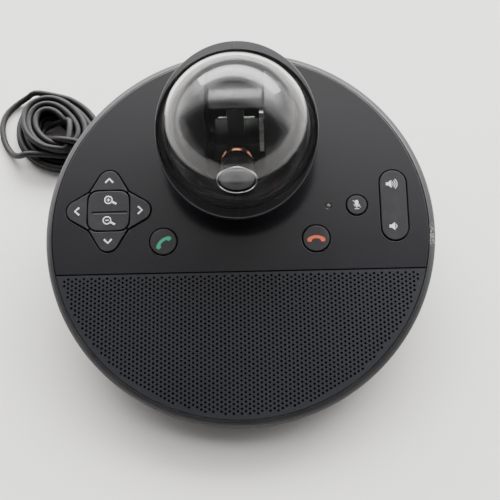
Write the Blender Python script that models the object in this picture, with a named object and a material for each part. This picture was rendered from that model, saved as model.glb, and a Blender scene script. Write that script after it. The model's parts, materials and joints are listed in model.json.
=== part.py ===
"""Conference speakerphone: a tilted round speaker base with a pan and tilt camera head.

Lengths are millimetres and angles are degrees; every mesh is written in metres.
The origin is on the table under the middle of the base, +Z is up and -Y faces the user.
"""

from math import acos, atan2, cos, degrees, pi, radians, sin, sqrt, tan

import bmesh
import bpy
from mathutils import Matrix, Vector
from mathutils.geometry import tessellate_polygon

METRE = 0.001
GAP = 0.3              # between pieces that touch
SEGMENTS = 64          # around the disc
SMALL_SEGMENTS = 24    # around keys, feet and tubes

# Disc: the round top face, tilted towards the user
DISC_RADIUS = 120.0
DISC_TILT = 12.5
DISC_HEIGHT = 47.0     # table to the middle of the top face
RIM_WIDTH = 3.9
RIM_DROP = 2.7
RIM_DEPTH = 9.0
GROOVE = 0.5           # between the rim and the panels
LEDGE = 3.5            # how far the rim carries the panels
PANEL = 2.2            # deck panel thickness
GRILLE = 1.2
CLOTH = 0.6
SPLIT_LINE = -27.0     # where deck and grille meet
SHELL_WALL = 2.4
SHELL_LIP = 3.7        # straight wall under the rim ring
SHELL_INSET = 1.4      # shell edge inside the rim ring
WALL_BULGE = 6.0

# Foot of the lower housing
FOOT_RADIUS = 86.0
FOOT_OFFSET = 5.0      # behind the disc's middle
FOOT_CHAMFER = 2.0
FOOT_CLEARANCE = 2.0   # floor of the housing above the table
FLOOR = 4.0
PAD_RADIUS = 9.0
PAD_CIRCLE = 71.0
SCREW_CIRCLE = 78.5
SCREW_RADIUS = 1.5
SCREW_HEAD = 3.0
SCREW_LENGTH = 14.0
BOSS_RADIUS = 3.6

# Keys on the deck, in the disc's own plane: x to the right, y away from the user
KEY_RAISE = 0.7
KEY_TRAVEL = 0.6
KEY_CLEARANCE = 0.35
KEY_BODY = 3.4         # depth below the deck face
KEY_FLANGE = 1.0
ROUND_KEYS = {
    "call_key": (-46.8, -7.2, 8.1),
    "hangup_key": (46.8, -7.2, 8.1),
    "mute_key": (72.4, 13.5, 6.1),
}
PAD_X, PAD_Y = -81.0, 13.4
PAD_REACH = 26.0       # middle of the pad to a petal's tip
PAD_TIP = 6.6          # radius of a petal's tip
PAD_CORNER = 12.0      # where two petals meet, along both axes
PAD_GAP = 0.6
ZOOM_HALF = 12.9
ZOOM_CORNER = 6.0
ROCKER_BODY = 2.4
VOLUME_X, VOLUME_Y = 95.2, 13.0
VOLUME_LENGTH = 44.6
VOLUME_RADIUS = 8.0
LED_X, LED_Y, LED_RADIUS = 54.9, 13.5, 1.5
MAT = 0.8
MAT_TOP = KEY_BODY + KEY_TRAVEL + 0.6   # leaves the keys their travel
BOARD = 1.6
FRAME_TOP, FRAME = 7.6, 1.6

# Loudspeaker, square to the disc
SPEAKER_Y = -70.0
SPEAKER_RADIUS = 36.0
BASKET_DEPTH = 8.4
CONE_RADIUS = 24.5
MAGNET_RADIUS = 18.0
MAGNET = 5.6
MIC_X, MIC_Y, MIC_RADIUS = -56.0, -36.0, 4.9

# Neck and pan drive, upright
HEAD_BACK = 46.7       # pan axis behind the disc's middle
NECK_RADIUS = 26.0
NECK_WALL = 2.4
NECK_TOP = 65.0
SHOULDER = 42.6
PLUG_RADIUS = 18.0
PLUG_BOTTOM = 12.0
SOCKET_WALL = 2.6
SPINDLE = 5.0
BUSH_WALL = 1.8
PAN_MODULE = 0.8
PAN_TEETH = 32
PINION_TEETH = 10
PAN_GEAR_BOTTOM = 57.0
GEAR_WIDTH = 4.0
MOTOR_RADIUS = 5.8

# Head: an upright drum under a clear dome whose ring leans towards the user
RING_HEIGHT = 87.0     # table to the middle of the dome's ring
RING_TILT = 23.6
HEAD_RADIUS = 49.4
HEAD_WALL = 2.2
HEAD_BOTTOM = 72.0     # underside on the pan axis, parallel to the disc at rest
HEAD_ROUND = 0.62      # share of the drum's height that is rounded at the bottom
POCKET_DEPTH = 4.4
POCKET_RADIUS = 48.2
LEDGE_RADIUS = 43.6
SEAL = 1.5
DOME_RADIUS = 45.2
DOME_WALL = 1.8
DOME_FLANGE = 2.0
FLANGE_STEP = 47.0
PLATFORM_RADIUS = 28.0
PLATFORM = 2.4
PLATFORM_BOTTOM = 65.6
HEAD_SEGMENTS = 48

# Camera inside the dome
CHEEK_RADIUS = 38.0
CHEEK_WALL = 1.8
CHEEK_CUT = 5.7        # lower edge of the cheeks above the ring's middle
SLOT_HALF = 16.9
TILT_AXIS_DROP = 9.0   # tilt axis below the ring's middle
LENS_ELEVATION = 8.2
TRUNNION = 3.6
YOKE = 2.0
LENS_REACH = 34.3      # tilt axis to the lens ring's front
BARREL_RADIUS = 9.5
LENS_RADIUS = 12.2
HOUSING_HALF = 13.4
SHIELD_RADIUS = 34.5
SHIELD = 1.5
SHIELD_START = 75.3    # past the lens axis
SHIELD_END = 130.8
TILT_MODULE = 0.7
TILT_TEETH = 24
TILT_PINION_ANGLE = 150.0

# Cable
CABLE_RADIUS = 2.2
GLAND_LENGTH = 20.0
GLAND_X = -15.0
GLAND_HEIGHT = 12.0
DC_X, AUDIO_X = 12.0, 28.0
JACK_RADIUS = 5.0
JACK_LENGTH = 10.6
JACK_INSET = 2.0       # jack faces inside the wall
COIL_X, COIL_Y = -130.0, 101.0
COIL_OUTER = (36.2, 30.2)   # half of the oval's length and width
COIL_INNER = (16.8, 9.8)
COIL_TURN = -50.0
COIL_HEIGHT = 17.6
PLUG_X, PLUG_Y = -96.4, 88.0
PLUG_TURN = 5.0
PLUG_SLEEVE = 9.0
PLUG_GRIP = 24.0
PLUG_WIDTH = 16.0
PLUG_HEIGHT = 8.4
PLUG_METAL = 12.0

TILT = radians(DISC_TILT)
LEAN = radians(RING_TILT)

# The front of the rim reaches furthest at its chamfer and the back at its lower edge, so the
# disc's middle sits a little towards the user for the base to be centred on the origin.
DISC_Y = -(RIM_DROP + RIM_DEPTH) * sin(TILT) / 2

DISC = Matrix.Translation((0, DISC_Y, DISC_HEIGHT)) @ Matrix.Rotation(TILT, 4, "X")
PAN = Matrix.Translation((0, DISC_Y + HEAD_BACK, 0))
RING = PAN @ Matrix.Translation((0, 0, RING_HEIGHT)) @ Matrix.Rotation(LEAN, 4, "X")
TILT_AXIS = PAN @ Matrix.Translation((0, 0, RING_HEIGHT - TILT_AXIS_DROP))
# In the camera's own frame +X is the tilt axis, +Y is up and +Z looks out of the lens.
LENS = TILT_AXIS @ Matrix.Rotation(radians(90 - LENS_ELEVATION), 4, "X")
SHAFT = TILT_AXIS @ Matrix.Rotation(pi / 2, 4, "Y")
AXIS_Y = HEAD_BACK / cos(TILT)   # where the pan axis meets the deck, in the disc's plane


# ---------------------------------------------------------------- building tools

def clear_scene():
    for item in list(bpy.data.objects):
        bpy.data.objects.remove(item, do_unlink=True)


def material(name, colour, roughness, metallic=0.0, alpha=1.0):
    mat = bpy.data.materials.get(name) or bpy.data.materials.new(name)
    mat.use_nodes = True
    shader = mat.node_tree.nodes["Principled BSDF"]
    shader.inputs["Base Color"].default_value = (*colour, 1.0)
    shader.inputs["Roughness"].default_value = roughness
    shader.inputs["Metallic"].default_value = metallic
    shader.inputs["Alpha"].default_value = alpha
    mat.diffuse_color = (*colour, alpha)
    return mat


def finish(name, bm, mat, smooth=40.0):
    """Turn a bmesh in millimetres into a closed, outward-facing object in metres."""
    bmesh.ops.remove_doubles(bm, verts=bm.verts, dist=0.001)
    bmesh.ops.recalc_face_normals(bm, faces=bm.faces)
    bmesh.ops.scale(bm, vec=(METRE, METRE, METRE), verts=bm.verts)
    mesh = bpy.data.meshes.new(name)
    bm.to_mesh(mesh)
    bm.free()
    mesh.shade_smooth()
    mesh.set_sharp_from_angle(angle=radians(smooth))
    obj = bpy.data.objects.new(name, mesh)
    bpy.context.collection.objects.link(obj)
    mesh.materials.append(mat)
    return obj


def loft(name, rings, mat, closed=False, smooth=40.0):
    """Skin a row of rings; the ends are capped, or joined to each other if closed."""
    bm = bmesh.new()
    rows = [[bm.verts.new(point) for point in ring] for ring in rings]
    pairs = list(zip(rows, rows[1:] + rows[:1] if closed else rows[1:]))
    for low, high in pairs:
        count = len(low)
        for i in range(count):
            j = (i + 1) % count
            bm.faces.new((low[i], low[j], high[j], high[i]))
    if not closed:
        for row in (rows[0], rows[-1]):
            bm.faces.new(row)
    return finish(name, bm, mat, smooth)


def circle(radius, z=0.0, count=SMALL_SEGMENTS, centre=(0.0, 0.0)):
    return [
        Vector((centre[0] + radius * cos(2 * pi * i / count),
                centre[1] + radius * sin(2 * pi * i / count), z))
        for i in range(count)
    ]


def placed(matrix, points):
    return [matrix @ point for point in points]


def turned(name, profile, matrix, mat, count=SMALL_SEGMENTS, smooth=40.0):
    """Turn a closed (radius, z) outline about the matrix's Z axis."""
    solid = min(radius for radius, _ in profile) < 0.01
    rings = [placed(matrix, circle(radius, z, count)) for radius, z in profile if radius > 0.01]
    return loft(name, rings, mat, closed=not solid, smooth=smooth)


def plate(name, outlines, low, high, matrix, mat, smooth=40.0):
    """A flat plate with holes: the first outline is its edge, the others are its holes."""
    bm = bmesh.new()
    flat = [[Vector((x, y, 0)) for x, y in outline] for outline in outlines]
    bottom = [[bm.verts.new(matrix @ Vector((p.x, p.y, low))) for p in loop] for loop in flat]
    top = [[bm.verts.new(matrix @ Vector((p.x, p.y, high))) for p in loop] for loop in flat]
    low_row = [v for loop in bottom for v in loop]
    high_row = [v for loop in top for v in loop]
    for a, b, c in tessellate_polygon(flat):
        bm.faces.new((low_row[a], low_row[b], low_row[c]))
        bm.faces.new((high_row[c], high_row[b], high_row[a]))
    for under, over in zip(bottom, top):
        count = len(under)
        for i in range(count):
            j = (i + 1) % count
            bm.faces.new((under[i], under[j], over[j], over[i]))
    return finish(name, bm, mat, smooth)


def block(name, low, high, matrix, mat):
    corners = [(low[0], low[1]), (high[0], low[1]), (high[0], high[1]), (low[0], high[1])]
    return plate(name, [corners], low[2], high[2], matrix, mat)


def boolean(target, tools, operation):
    """Apply exact Booleans of the tools to the target and delete the tools."""
    for tool in tools:
        step = target.modifiers.new("shape", "BOOLEAN")
        step.object = tool
        step.operation = operation
        step.solver = "EXACT"
        evaluated = target.evaluated_get(bpy.context.evaluated_depsgraph_get())
        mesh = bpy.data.meshes.new_from_object(evaluated)
        target.modifiers.clear()
        target.data = mesh
        bpy.data.objects.remove(tool, do_unlink=True)
    mesh = target.data
    mesh.shade_smooth()
    mesh.set_sharp_from_angle(angle=radians(40))
    return target


def soften(obj, width, segments=1):
    bevel = obj.modifiers.new("edge", "BEVEL")
    bevel.width = width * METRE
    bevel.segments = segments
    bevel.limit_method = "ANGLE"
    bevel.angle_limit = radians(50)
    return obj


def ring_outline(radius, count=SMALL_SEGMENTS, centre=(0.0, 0.0)):
    return [(p.x, p.y) for p in circle(radius, 0, count, centre)]


def arc(centre, radius, start, end, steps):
    """Points along an arc, angles in degrees."""
    points = []
    for i in range(steps + 1):
        angle = radians(start + (end - start) * i / steps)
        points.append((centre[0] + radius * cos(angle), centre[1] + radius * sin(angle)))
    return points


def segment_outline(radius, level, side, steps):
    """The part of a disc beyond a straight line: side is 1 for above the line, -1 for below."""
    start = degrees(atan2(level, sqrt(radius * radius - level * level)))
    if side > 0:
        return arc((0, 0), radius, start, 180 - start, steps)
    return arc((0, 0), radius, start, -180 - start, steps)


def gear_outline(teeth, module):
    """Straight-flanked teeth a little thinner than half the pitch, so that a pair runs free."""
    pitch = pi * module
    radius = teeth * module / 2
    outline = []
    levels = ((-1.1, 0.62), (0.9, 0.20))
    for tooth in range(teeth):
        middle = 2 * pi * tooth / teeth
        rising = [(radius + level * module, -width * pitch / 2) for level, width in levels]
        falling = [(r, -shift) for r, shift in reversed(rising)]
        for r, shift in rising + falling:
            angle = middle + shift / radius
            outline.append((r * cos(angle), r * sin(angle)))
    return outline


# ---------------------------------------------------------------- finishes

def finishes():
    return {
        "housing_black": material("housing_black", (0.012, 0.012, 0.013), 0.45),
        "deck_gloss": material("deck_gloss", (0.010, 0.010, 0.011), 0.16),
        "rim_satin": material("rim_satin", (0.035, 0.036, 0.038), 0.38),
        "grille_metal": material("grille_metal", (0.012, 0.013, 0.016), 0.50, 0.6),
        "cloth": material("cloth", (0.006, 0.006, 0.006), 0.9),
        "key_matt": material("key_matt", (0.030, 0.030, 0.032), 0.55),
        "soft_rubber": material("soft_rubber", (0.014, 0.014, 0.014), 0.75),
        "board_green": material("board_green", (0.02, 0.14, 0.06), 0.5),
        "steel": material("steel", (0.56, 0.56, 0.57), 0.35, 1.0),
        "bronze": material("bronze", (0.55, 0.36, 0.18), 0.4, 1.0),
        "ferrite": material("ferrite", (0.06, 0.06, 0.065), 0.6),
        "cone_paper": material("cone_paper", (0.03, 0.03, 0.03), 0.8),
        "gear_plastic": material("gear_plastic", (0.75, 0.74, 0.70), 0.5),
        "clear": material("clear", (0.9, 0.92, 0.93), 0.03, 0.0, 0.15),
        "head_black": material("head_black", (0.012, 0.012, 0.013), 0.22),
        "inner_gloss": material("inner_gloss", (0.006, 0.006, 0.007), 0.08),
        "lens_silver": material("lens_silver", (0.75, 0.76, 0.78), 0.2, 1.0),
        "lens_glass": material("lens_glass", (0.02, 0.02, 0.03), 0.03),
        "led_lens": material("led_lens", (0.25, 0.26, 0.25), 0.3),
        "cable_black": material("cable_black", (0.018, 0.018, 0.020), 0.5),
    }


# ---------------------------------------------------------------- base housing

FOOT_Y = DISC_Y + FOOT_OFFSET
FLOOR_TOP = FOOT_CLEARANCE + FLOOR


def wall_ring(share, inset):
    """One ring of the lower housing's wall: share 0 is its lip and share 1 is the foot."""
    lip = placed(DISC, circle(DISC_RADIUS - SHELL_INSET - inset, -RIM_DEPTH - GAP - SHELL_LIP,
                              SEGMENTS))
    level = FOOT_CLEARANCE + FOOT_CHAMFER + (inset > 0) * (FLOOR - FOOT_CHAMFER)
    foot = circle(FOOT_RADIUS - inset, level, SEGMENTS, (0, FOOT_Y))
    bulge = WALL_BULGE * 4 * share * (1 - share)
    ring = []
    for i, (high, low) in enumerate(zip(lip, foot)):
        angle = 2 * pi * i / SEGMENTS
        outward = Vector((cos(angle), sin(angle), 0))
        ring.append(high.lerp(low, share) + outward * bulge)
    return ring


def base_shell(mats):
    """The tub under the disc, from the lip down its flared wall to the flat foot."""
    edge = DISC_RADIUS - SHELL_INSET
    top = -RIM_DEPTH - GAP
    shares = (0.0, 0.4, 1.0)
    rings = [circle(FOOT_RADIUS - FOOT_CHAMFER, FOOT_CLEARANCE, SEGMENTS, (0, FOOT_Y))]
    rings += [wall_ring(share, 0) for share in reversed(shares)]
    rings.append(placed(DISC, circle(edge, top, SEGMENTS)))
    rings.append(placed(DISC, circle(edge - SHELL_WALL, top, SEGMENTS)))
    rings += [wall_ring(share, SHELL_WALL) for share in shares]
    shell = loft("base_shell", rings, mats["housing_black"])
    cutters = []
    for x, y in screw_places():
        through = Matrix.Translation((x, y, 0))
        cutters.append(turned("cut", [
            (0, FOOT_CLEARANCE - 1), (SCREW_HEAD + 0.5, FOOT_CLEARANCE - 1),
            (SCREW_HEAD + 0.5, FOOT_CLEARANCE + 2), (SCREW_RADIUS + 0.4, FOOT_CLEARANCE + 2),
            (SCREW_RADIUS + 0.4, FLOOR_TOP + 1), (0, FLOOR_TOP + 1),
        ], through, mats["housing_black"], 16))
    gland_hole = Matrix.Translation((GLAND_X, wall_back(GLAND_X) - 12, GLAND_HEIGHT))
    gland_hole = gland_hole @ Matrix.Rotation(-pi / 2, 4, "X")
    cutters.append(turned("cut", [(0, 0), (4.6, 0), (4.6, 24), (0, 24)], gland_hole,
                          mats["housing_black"], 16))
    for x in (DC_X, AUDIO_X):
        hole = Matrix.Translation((x, wall_back(x) - 12, GLAND_HEIGHT))
        hole = hole @ Matrix.Rotation(-pi / 2, 4, "X")
        cutters.append(turned("cut", [(0, 0), (JACK_RADIUS + 0.4, 0), (JACK_RADIUS + 0.4, 24),
                                      (0, 24)], hole, mats["housing_black"], 16))
    return boolean(shell, cutters, "DIFFERENCE")


def wall_back(x):
    """How far back the housing's rear wall is at the cable's height, x from the middle."""
    radius = FOOT_RADIUS
    back = [max(wall_ring(step / 40, 0), key=lambda p: p.y) for step in range(41)]
    for high, low in zip(back, back[1:]):
        if low.z <= GLAND_HEIGHT <= high.z:
            share = (high.z - GLAND_HEIGHT) / (high.z - low.z)
            radius = high.y + (low.y - high.y) * share - FOOT_Y
    return FOOT_Y + sqrt(radius * radius - x * x)


def screw_places():
    return [(SCREW_CIRCLE * cos(radians(a)), FOOT_Y + SCREW_CIRCLE * sin(radians(a)))
            for a in (90, 210, 330)]


def pad_places():
    return [(PAD_CIRCLE * cos(radians(a)), FOOT_Y + PAD_CIRCLE * sin(radians(a)))
            for a in (30, 150, 270)]


def rim_ring(mats):
    """Satin trim ring whose chamfer frames the top face and whose ledge carries the panels."""
    inner = DISC_RADIUS - RIM_WIDTH
    carry = inner - LEDGE
    return turned("rim_ring", [
        (inner, 0), (DISC_RADIUS, -RIM_DROP), (DISC_RADIUS, -RIM_DEPTH), (carry, -RIM_DEPTH),
        (carry, -PANEL - GAP), (inner, -PANEL - GAP),
    ], DISC, mats["rim_satin"], SEGMENTS, 25.0)


def panel_radius():
    return DISC_RADIUS - RIM_WIDTH - GROOVE


def neck_hole(extra):
    """The upright neck's outline where it passes through the tilted disc."""
    radius = NECK_RADIUS + extra
    return [(x, AXIS_Y + y / cos(TILT)) for x, y in ring_outline(radius, 32)]


def deck_panel(mats):
    outlines = [segment_outline(panel_radius(), SPLIT_LINE + 0.3, 1, 40), neck_hole(2.2)]
    for x, y, radius in ROUND_KEYS.values():
        outlines.append(ring_outline(radius + KEY_CLEARANCE, 24, (x, y)))
    outlines.append(pill(VOLUME_X, VOLUME_Y, VOLUME_RADIUS + KEY_CLEARANCE,
                         VOLUME_LENGTH + 2 * KEY_CLEARANCE))
    outlines.append(pad_outline(KEY_CLEARANCE))
    outlines.append(ring_outline(LED_RADIUS + 0.3, 12, (LED_X, LED_Y)))
    return plate("deck_panel", outlines, -PANEL, 0, DISC, mats["deck_gloss"])


def speaker_grille(mats):
    outline = segment_outline(panel_radius(), SPLIT_LINE - 0.3, -1, 32)
    return plate("speaker_grille", [outline], -GRILLE, 0, DISC, mats["grille_metal"])


def grille_cloth(mats):
    outline = segment_outline(panel_radius() - LEDGE - 1, SPLIT_LINE - 2, -1, 24)
    top = -GRILLE - GAP
    return plate("grille_cloth", [outline], top - CLOTH, top, DISC, mats["cloth"])


def inner_frame(mats):
    """Chassis plate under the deck, with the speaker opening and bosses for the base screws."""
    radius = DISC_RADIUS - RIM_WIDTH - LEDGE - 0.5
    outlines = [ring_outline(radius, 40), neck_hole(5.0),
                ring_outline(SPEAKER_RADIUS - 5, 28, (0, SPEAKER_Y))]
    frame = plate("inner_frame", outlines, -FRAME_TOP - FRAME, -FRAME_TOP, DISC,
                  mats["housing_black"])
    bosses = []
    for x, y in screw_places():
        roof = (DISC @ Vector((0, (y - DISC_Y) / cos(TILT), 0))).z
        roof -= (FRAME_TOP + FRAME * 0.6) / cos(TILT)
        bosses.append(turned("boss", [
            (0, roof), (BOSS_RADIUS, roof), (BOSS_RADIUS, FLOOR_TOP + GAP),
            (SCREW_RADIUS + GAP, FLOOR_TOP + GAP), (SCREW_RADIUS + GAP, roof - 3),
            (0, roof - 3),
        ], Matrix.Translation((x, y, 0)), mats["housing_black"], 12))
    return boolean(frame, bosses, "UNION")


def base_fasteners(mats):
    for number, (x, y) in enumerate(screw_places(), 1):
        head = FOOT_CLEARANCE + 0.2
        turned(f"base_screw_{number}", [
            (0, head), (SCREW_HEAD, head), (SCREW_HEAD, head + 1.5), (SCREW_RADIUS, head + 1.5),
            (SCREW_RADIUS, head + SCREW_LENGTH), (0, head + SCREW_LENGTH),
        ], Matrix.Translation((x, y, 0)), mats["steel"], 12)
    for number, (x, y) in enumerate(pad_places(), 1):
        turned(f"rubber_foot_{number}", [
            (0, 0), (PAD_RADIUS - 0.4, 0), (PAD_RADIUS, 0.5), (PAD_RADIUS, FOOT_CLEARANCE - GAP),
            (0, FOOT_CLEARANCE - GAP),
        ], Matrix.Translation((x, y, 0)), mats["soft_rubber"], 20)


def ballast_plate(mats):
    low = FLOOR_TOP + GAP
    outlines = [ring_outline(FOOT_RADIUS - 12, 32, (0, FOOT_Y)),
                ring_outline(socket_radius() + 8, 24, (0, DISC_Y + HEAD_BACK))]
    return plate("ballast_plate", outlines, low, low + 2, Matrix(), mats["steel"])


def main_board(mats):
    low = FLOOR_TOP + 5
    place = Matrix.Translation((0, DISC_Y, 0))
    board = block("main_board", (-74, -18, low), (-26, 42, low + BOARD), place,
                  mats["board_green"])
    chips = [
        block("chip", (-66, -10, low + 1), (-50, 6, low + 3.4), place, mats["board_green"]),
        block("chip", (-44, -8, low + 1), (-34, 4, low + 3.0), place, mats["board_green"]),
        block("chip", (-64, 16, low + 1), (-42, 30, low + 5.0), place, mats["board_green"]),
    ]
    return boolean(board, chips, "UNION")


def key_deck_outline(margin):
    """The stretch of disc behind the split line that holds the keys, clear of the neck."""
    radius = DISC_RADIUS - RIM_WIDTH - LEDGE - 0.8 - margin
    front, back = SPLIT_LINE + 4 + margin, 44.0 - margin
    side_front = sqrt(radius * radius - front * front)
    side_back = sqrt(radius * radius - back * back)
    start, end = degrees(atan2(front, side_front)), degrees(atan2(back, side_back))
    right = arc((0, 0), radius, start, end, 16)
    bite = NECK_RADIUS + 6 + margin
    reach = sqrt(bite * bite - (AXIS_Y - back) ** 2)
    low = degrees(atan2(back - AXIS_Y, reach))
    notch = arc((0, AXIS_Y), bite, low, -180 - low, 24)
    left = [(-x, y) for x, y in reversed(right)]
    return right + notch + left


def key_mat(mats):
    return plate("key_mat", [key_deck_outline(1.0)], -MAT_TOP - MAT, -MAT_TOP, DISC,
                 mats["soft_rubber"])


def key_board(mats):
    top = -MAT_TOP - MAT - GAP * 0.7
    return plate("key_board", [key_deck_outline(0.0)], top - BOARD * 0.8, top, DISC,
                 mats["board_green"])


def status_led(mats):
    return turned("status_led", [
        (0, 0.1), (LED_RADIUS, 0.1), (LED_RADIUS, -MAT_TOP + GAP), (0, -MAT_TOP + GAP),
    ], DISC @ Matrix.Translation((LED_X, LED_Y, 0)), mats["led_lens"], 12)


def microphone(mats):
    top = -GRILLE - GAP - CLOTH - GAP
    return turned("microphone", [
        (0, top), (MIC_RADIUS, top), (MIC_RADIUS, -FRAME_TOP + GAP), (0, -FRAME_TOP + GAP),
    ], DISC @ Matrix.Translation((MIC_X, MIC_Y, 0)), mats["steel"], 24)


# ---------------------------------------------------------------- loudspeaker

def loudspeaker(mats):
    place = DISC @ Matrix.Translation((0, SPEAKER_Y, 0))
    seat = -FRAME_TOP + GAP
    floor = seat - BASKET_DEPTH
    throat = MAGNET_RADIUS - 2
    flare = SPEAKER_RADIUS - 6
    turned("speaker_basket", [
        (SPEAKER_RADIUS, seat), (SPEAKER_RADIUS, seat + 1.3), (flare - 2.6, seat + 1.3),
        (flare - 2.6, seat + 0.4), (throat - 0.5, floor + 1.2), (10.4, floor + 1.2),
        (10.4, floor), (throat, floor), (flare, seat),
    ], place, mats["housing_black"], 28)
    turned("speaker_magnet", [
        (0, floor - GAP - MAGNET), (MAGNET_RADIUS, floor - GAP - MAGNET),
        (MAGNET_RADIUS, floor - GAP), (0, floor - GAP),
    ], place, mats["ferrite"], 24)
    turned("speaker_surround", [
        (CONE_RADIUS + 0.5, seat + 1.7), (CONE_RADIUS + 1.6, seat + 3.0),
        (CONE_RADIUS + 3.2, seat + 3.0), (CONE_RADIUS + 4.6, seat + 1.7),
        (CONE_RADIUS + 4.0, seat + 1.6), (CONE_RADIUS + 2.9, seat + 2.5),
        (CONE_RADIUS + 1.9, seat + 2.5), (CONE_RADIUS + 1.1, seat + 1.6),
    ], place, mats["soft_rubber"], 28)
    coil = 9.0
    turned("speaker_cone", [
        (0, seat + 0.2), (5.0, seat - 0.6), (coil, seat - 2.6), (CONE_RADIUS, seat + 1.6),
        (CONE_RADIUS, seat + 0.9), (coil + 0.5, seat - 3.6), (coil, floor + 0.9),
        (coil - 0.7, floor + 0.9), (coil - 0.7, seat - 3.2), (5.0, seat - 1.3),
        (0, seat - 0.5),
    ], place, mats["cone_paper"], 28)


# ---------------------------------------------------------------- keys

def pill(x, y, radius, length):
    reach = length / 2 - radius
    return arc((x, y + reach), radius, 0, 180, 12) + arc((x, y - reach), radius, 180, 360, 12)


def petal_side(grow):
    """Half of a petal's outer edge, from its tip to the corner shared with its neighbour."""
    tip = PAD_TIP + grow
    centre = PAD_REACH - PAD_TIP
    corner = PAD_CORNER + grow
    # the tangent from the corner to the tip's arc
    dx, dy = corner, corner - centre
    distance = sqrt(dx * dx + dy * dy)
    touch = degrees(atan2(dy, dx) + acos(tip / distance))
    points = arc((0, centre), tip, 90, touch, 6)
    return points + [(corner, corner)]


def pad_outline(grow):
    """The four-lobed opening for the arrow keys."""
    side = petal_side(grow)
    lobe = [(-x, y) for x, y in side[:0:-1]] + side
    outline = []
    for quarter in range(4):
        turn = radians(-90 * quarter)
        for x, y in lobe[:-1]:
            outline.append((PAD_X + x * cos(turn) - y * sin(turn),
                            PAD_Y + x * sin(turn) + y * cos(turn)))
    return outline


def zoom_outline(grow, steps=6):
    half, corner = ZOOM_HALF + grow, ZOOM_CORNER + grow
    reach = half - corner
    outline = []
    for sx, sy, start in ((1, 1, 0), (-1, 1, 90), (-1, -1, 180), (1, -1, 270)):
        outline += arc((sx * reach, sy * reach), corner, start, start + 90, steps)
    return outline


def petal_outline():
    """One arrow key: a lobe whose inner edge follows the zoom key and leaves the same gap."""
    side = petal_side(0)
    half, corner = ZOOM_HALF + PAD_GAP, ZOOM_CORNER + PAD_GAP
    reach = half - corner
    shift = PAD_GAP / sqrt(2)
    inner = [(x, y) for x, y in arc((reach, reach), corner, 90, 45, 3)]
    right = [point for point in side if point[1] - abs(point[0]) > shift]
    last = side[-2]
    end = side[-1]
    share = (last[1] - last[0] - shift) / ((last[1] - last[0]) - (end[1] - end[0]))
    right.append((last[0] + (end[0] - last[0]) * share, last[1] + (end[1] - last[1]) * share))
    bend = [point for point in inner if point[1] - point[0] > shift]
    half_outline = right + [bend[-1]] + bend[-2::-1] if len(bend) > 1 else right + bend
    mirror = [(-x, y) for x, y in reversed(half_outline) if x > 0.01]
    return half_outline + mirror


def keys(mats):
    for name, (x, y, radius) in ROUND_KEYS.items():
        place = DISC @ Matrix.Translation((x, y, 0))
        turned(name, [
            (0, KEY_RAISE), (radius - 0.5, KEY_RAISE), (radius, KEY_RAISE - 0.5),
            (radius, -PANEL - GAP), (radius + KEY_FLANGE, -PANEL - GAP),
            (radius + KEY_FLANGE, -KEY_BODY), (0, -KEY_BODY),
        ], place, mats["key_matt"], 24)
    for quarter, side in enumerate(("up", "left", "down", "right")):
        place = DISC @ Matrix.Translation((PAD_X, PAD_Y, 0))
        place = place @ Matrix.Rotation(pi / 2 * quarter, 4, "Z")
        soften(plate(f"key_{side}", [petal_outline()], -KEY_BODY, KEY_RAISE, place,
                     mats["key_matt"]), 0.4)
    place = DISC @ Matrix.Translation((PAD_X, PAD_Y, 0))
    soften(plate("zoom_rocker", [zoom_outline(0)], -ROCKER_BODY, KEY_RAISE, place,
                 mats["key_matt"]), 0.4)
    outline = pill(0, 0, VOLUME_RADIUS, VOLUME_LENGTH)
    place = DISC @ Matrix.Translation((VOLUME_X, VOLUME_Y, 0))
    soften(plate("volume_rocker", [outline], -ROCKER_BODY, KEY_RAISE, place,
                 mats["key_matt"]), 0.4)


# ---------------------------------------------------------------- neck and pan drive

def socket_radius():
    return PLUG_RADIUS + GAP + SOCKET_WALL


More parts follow.
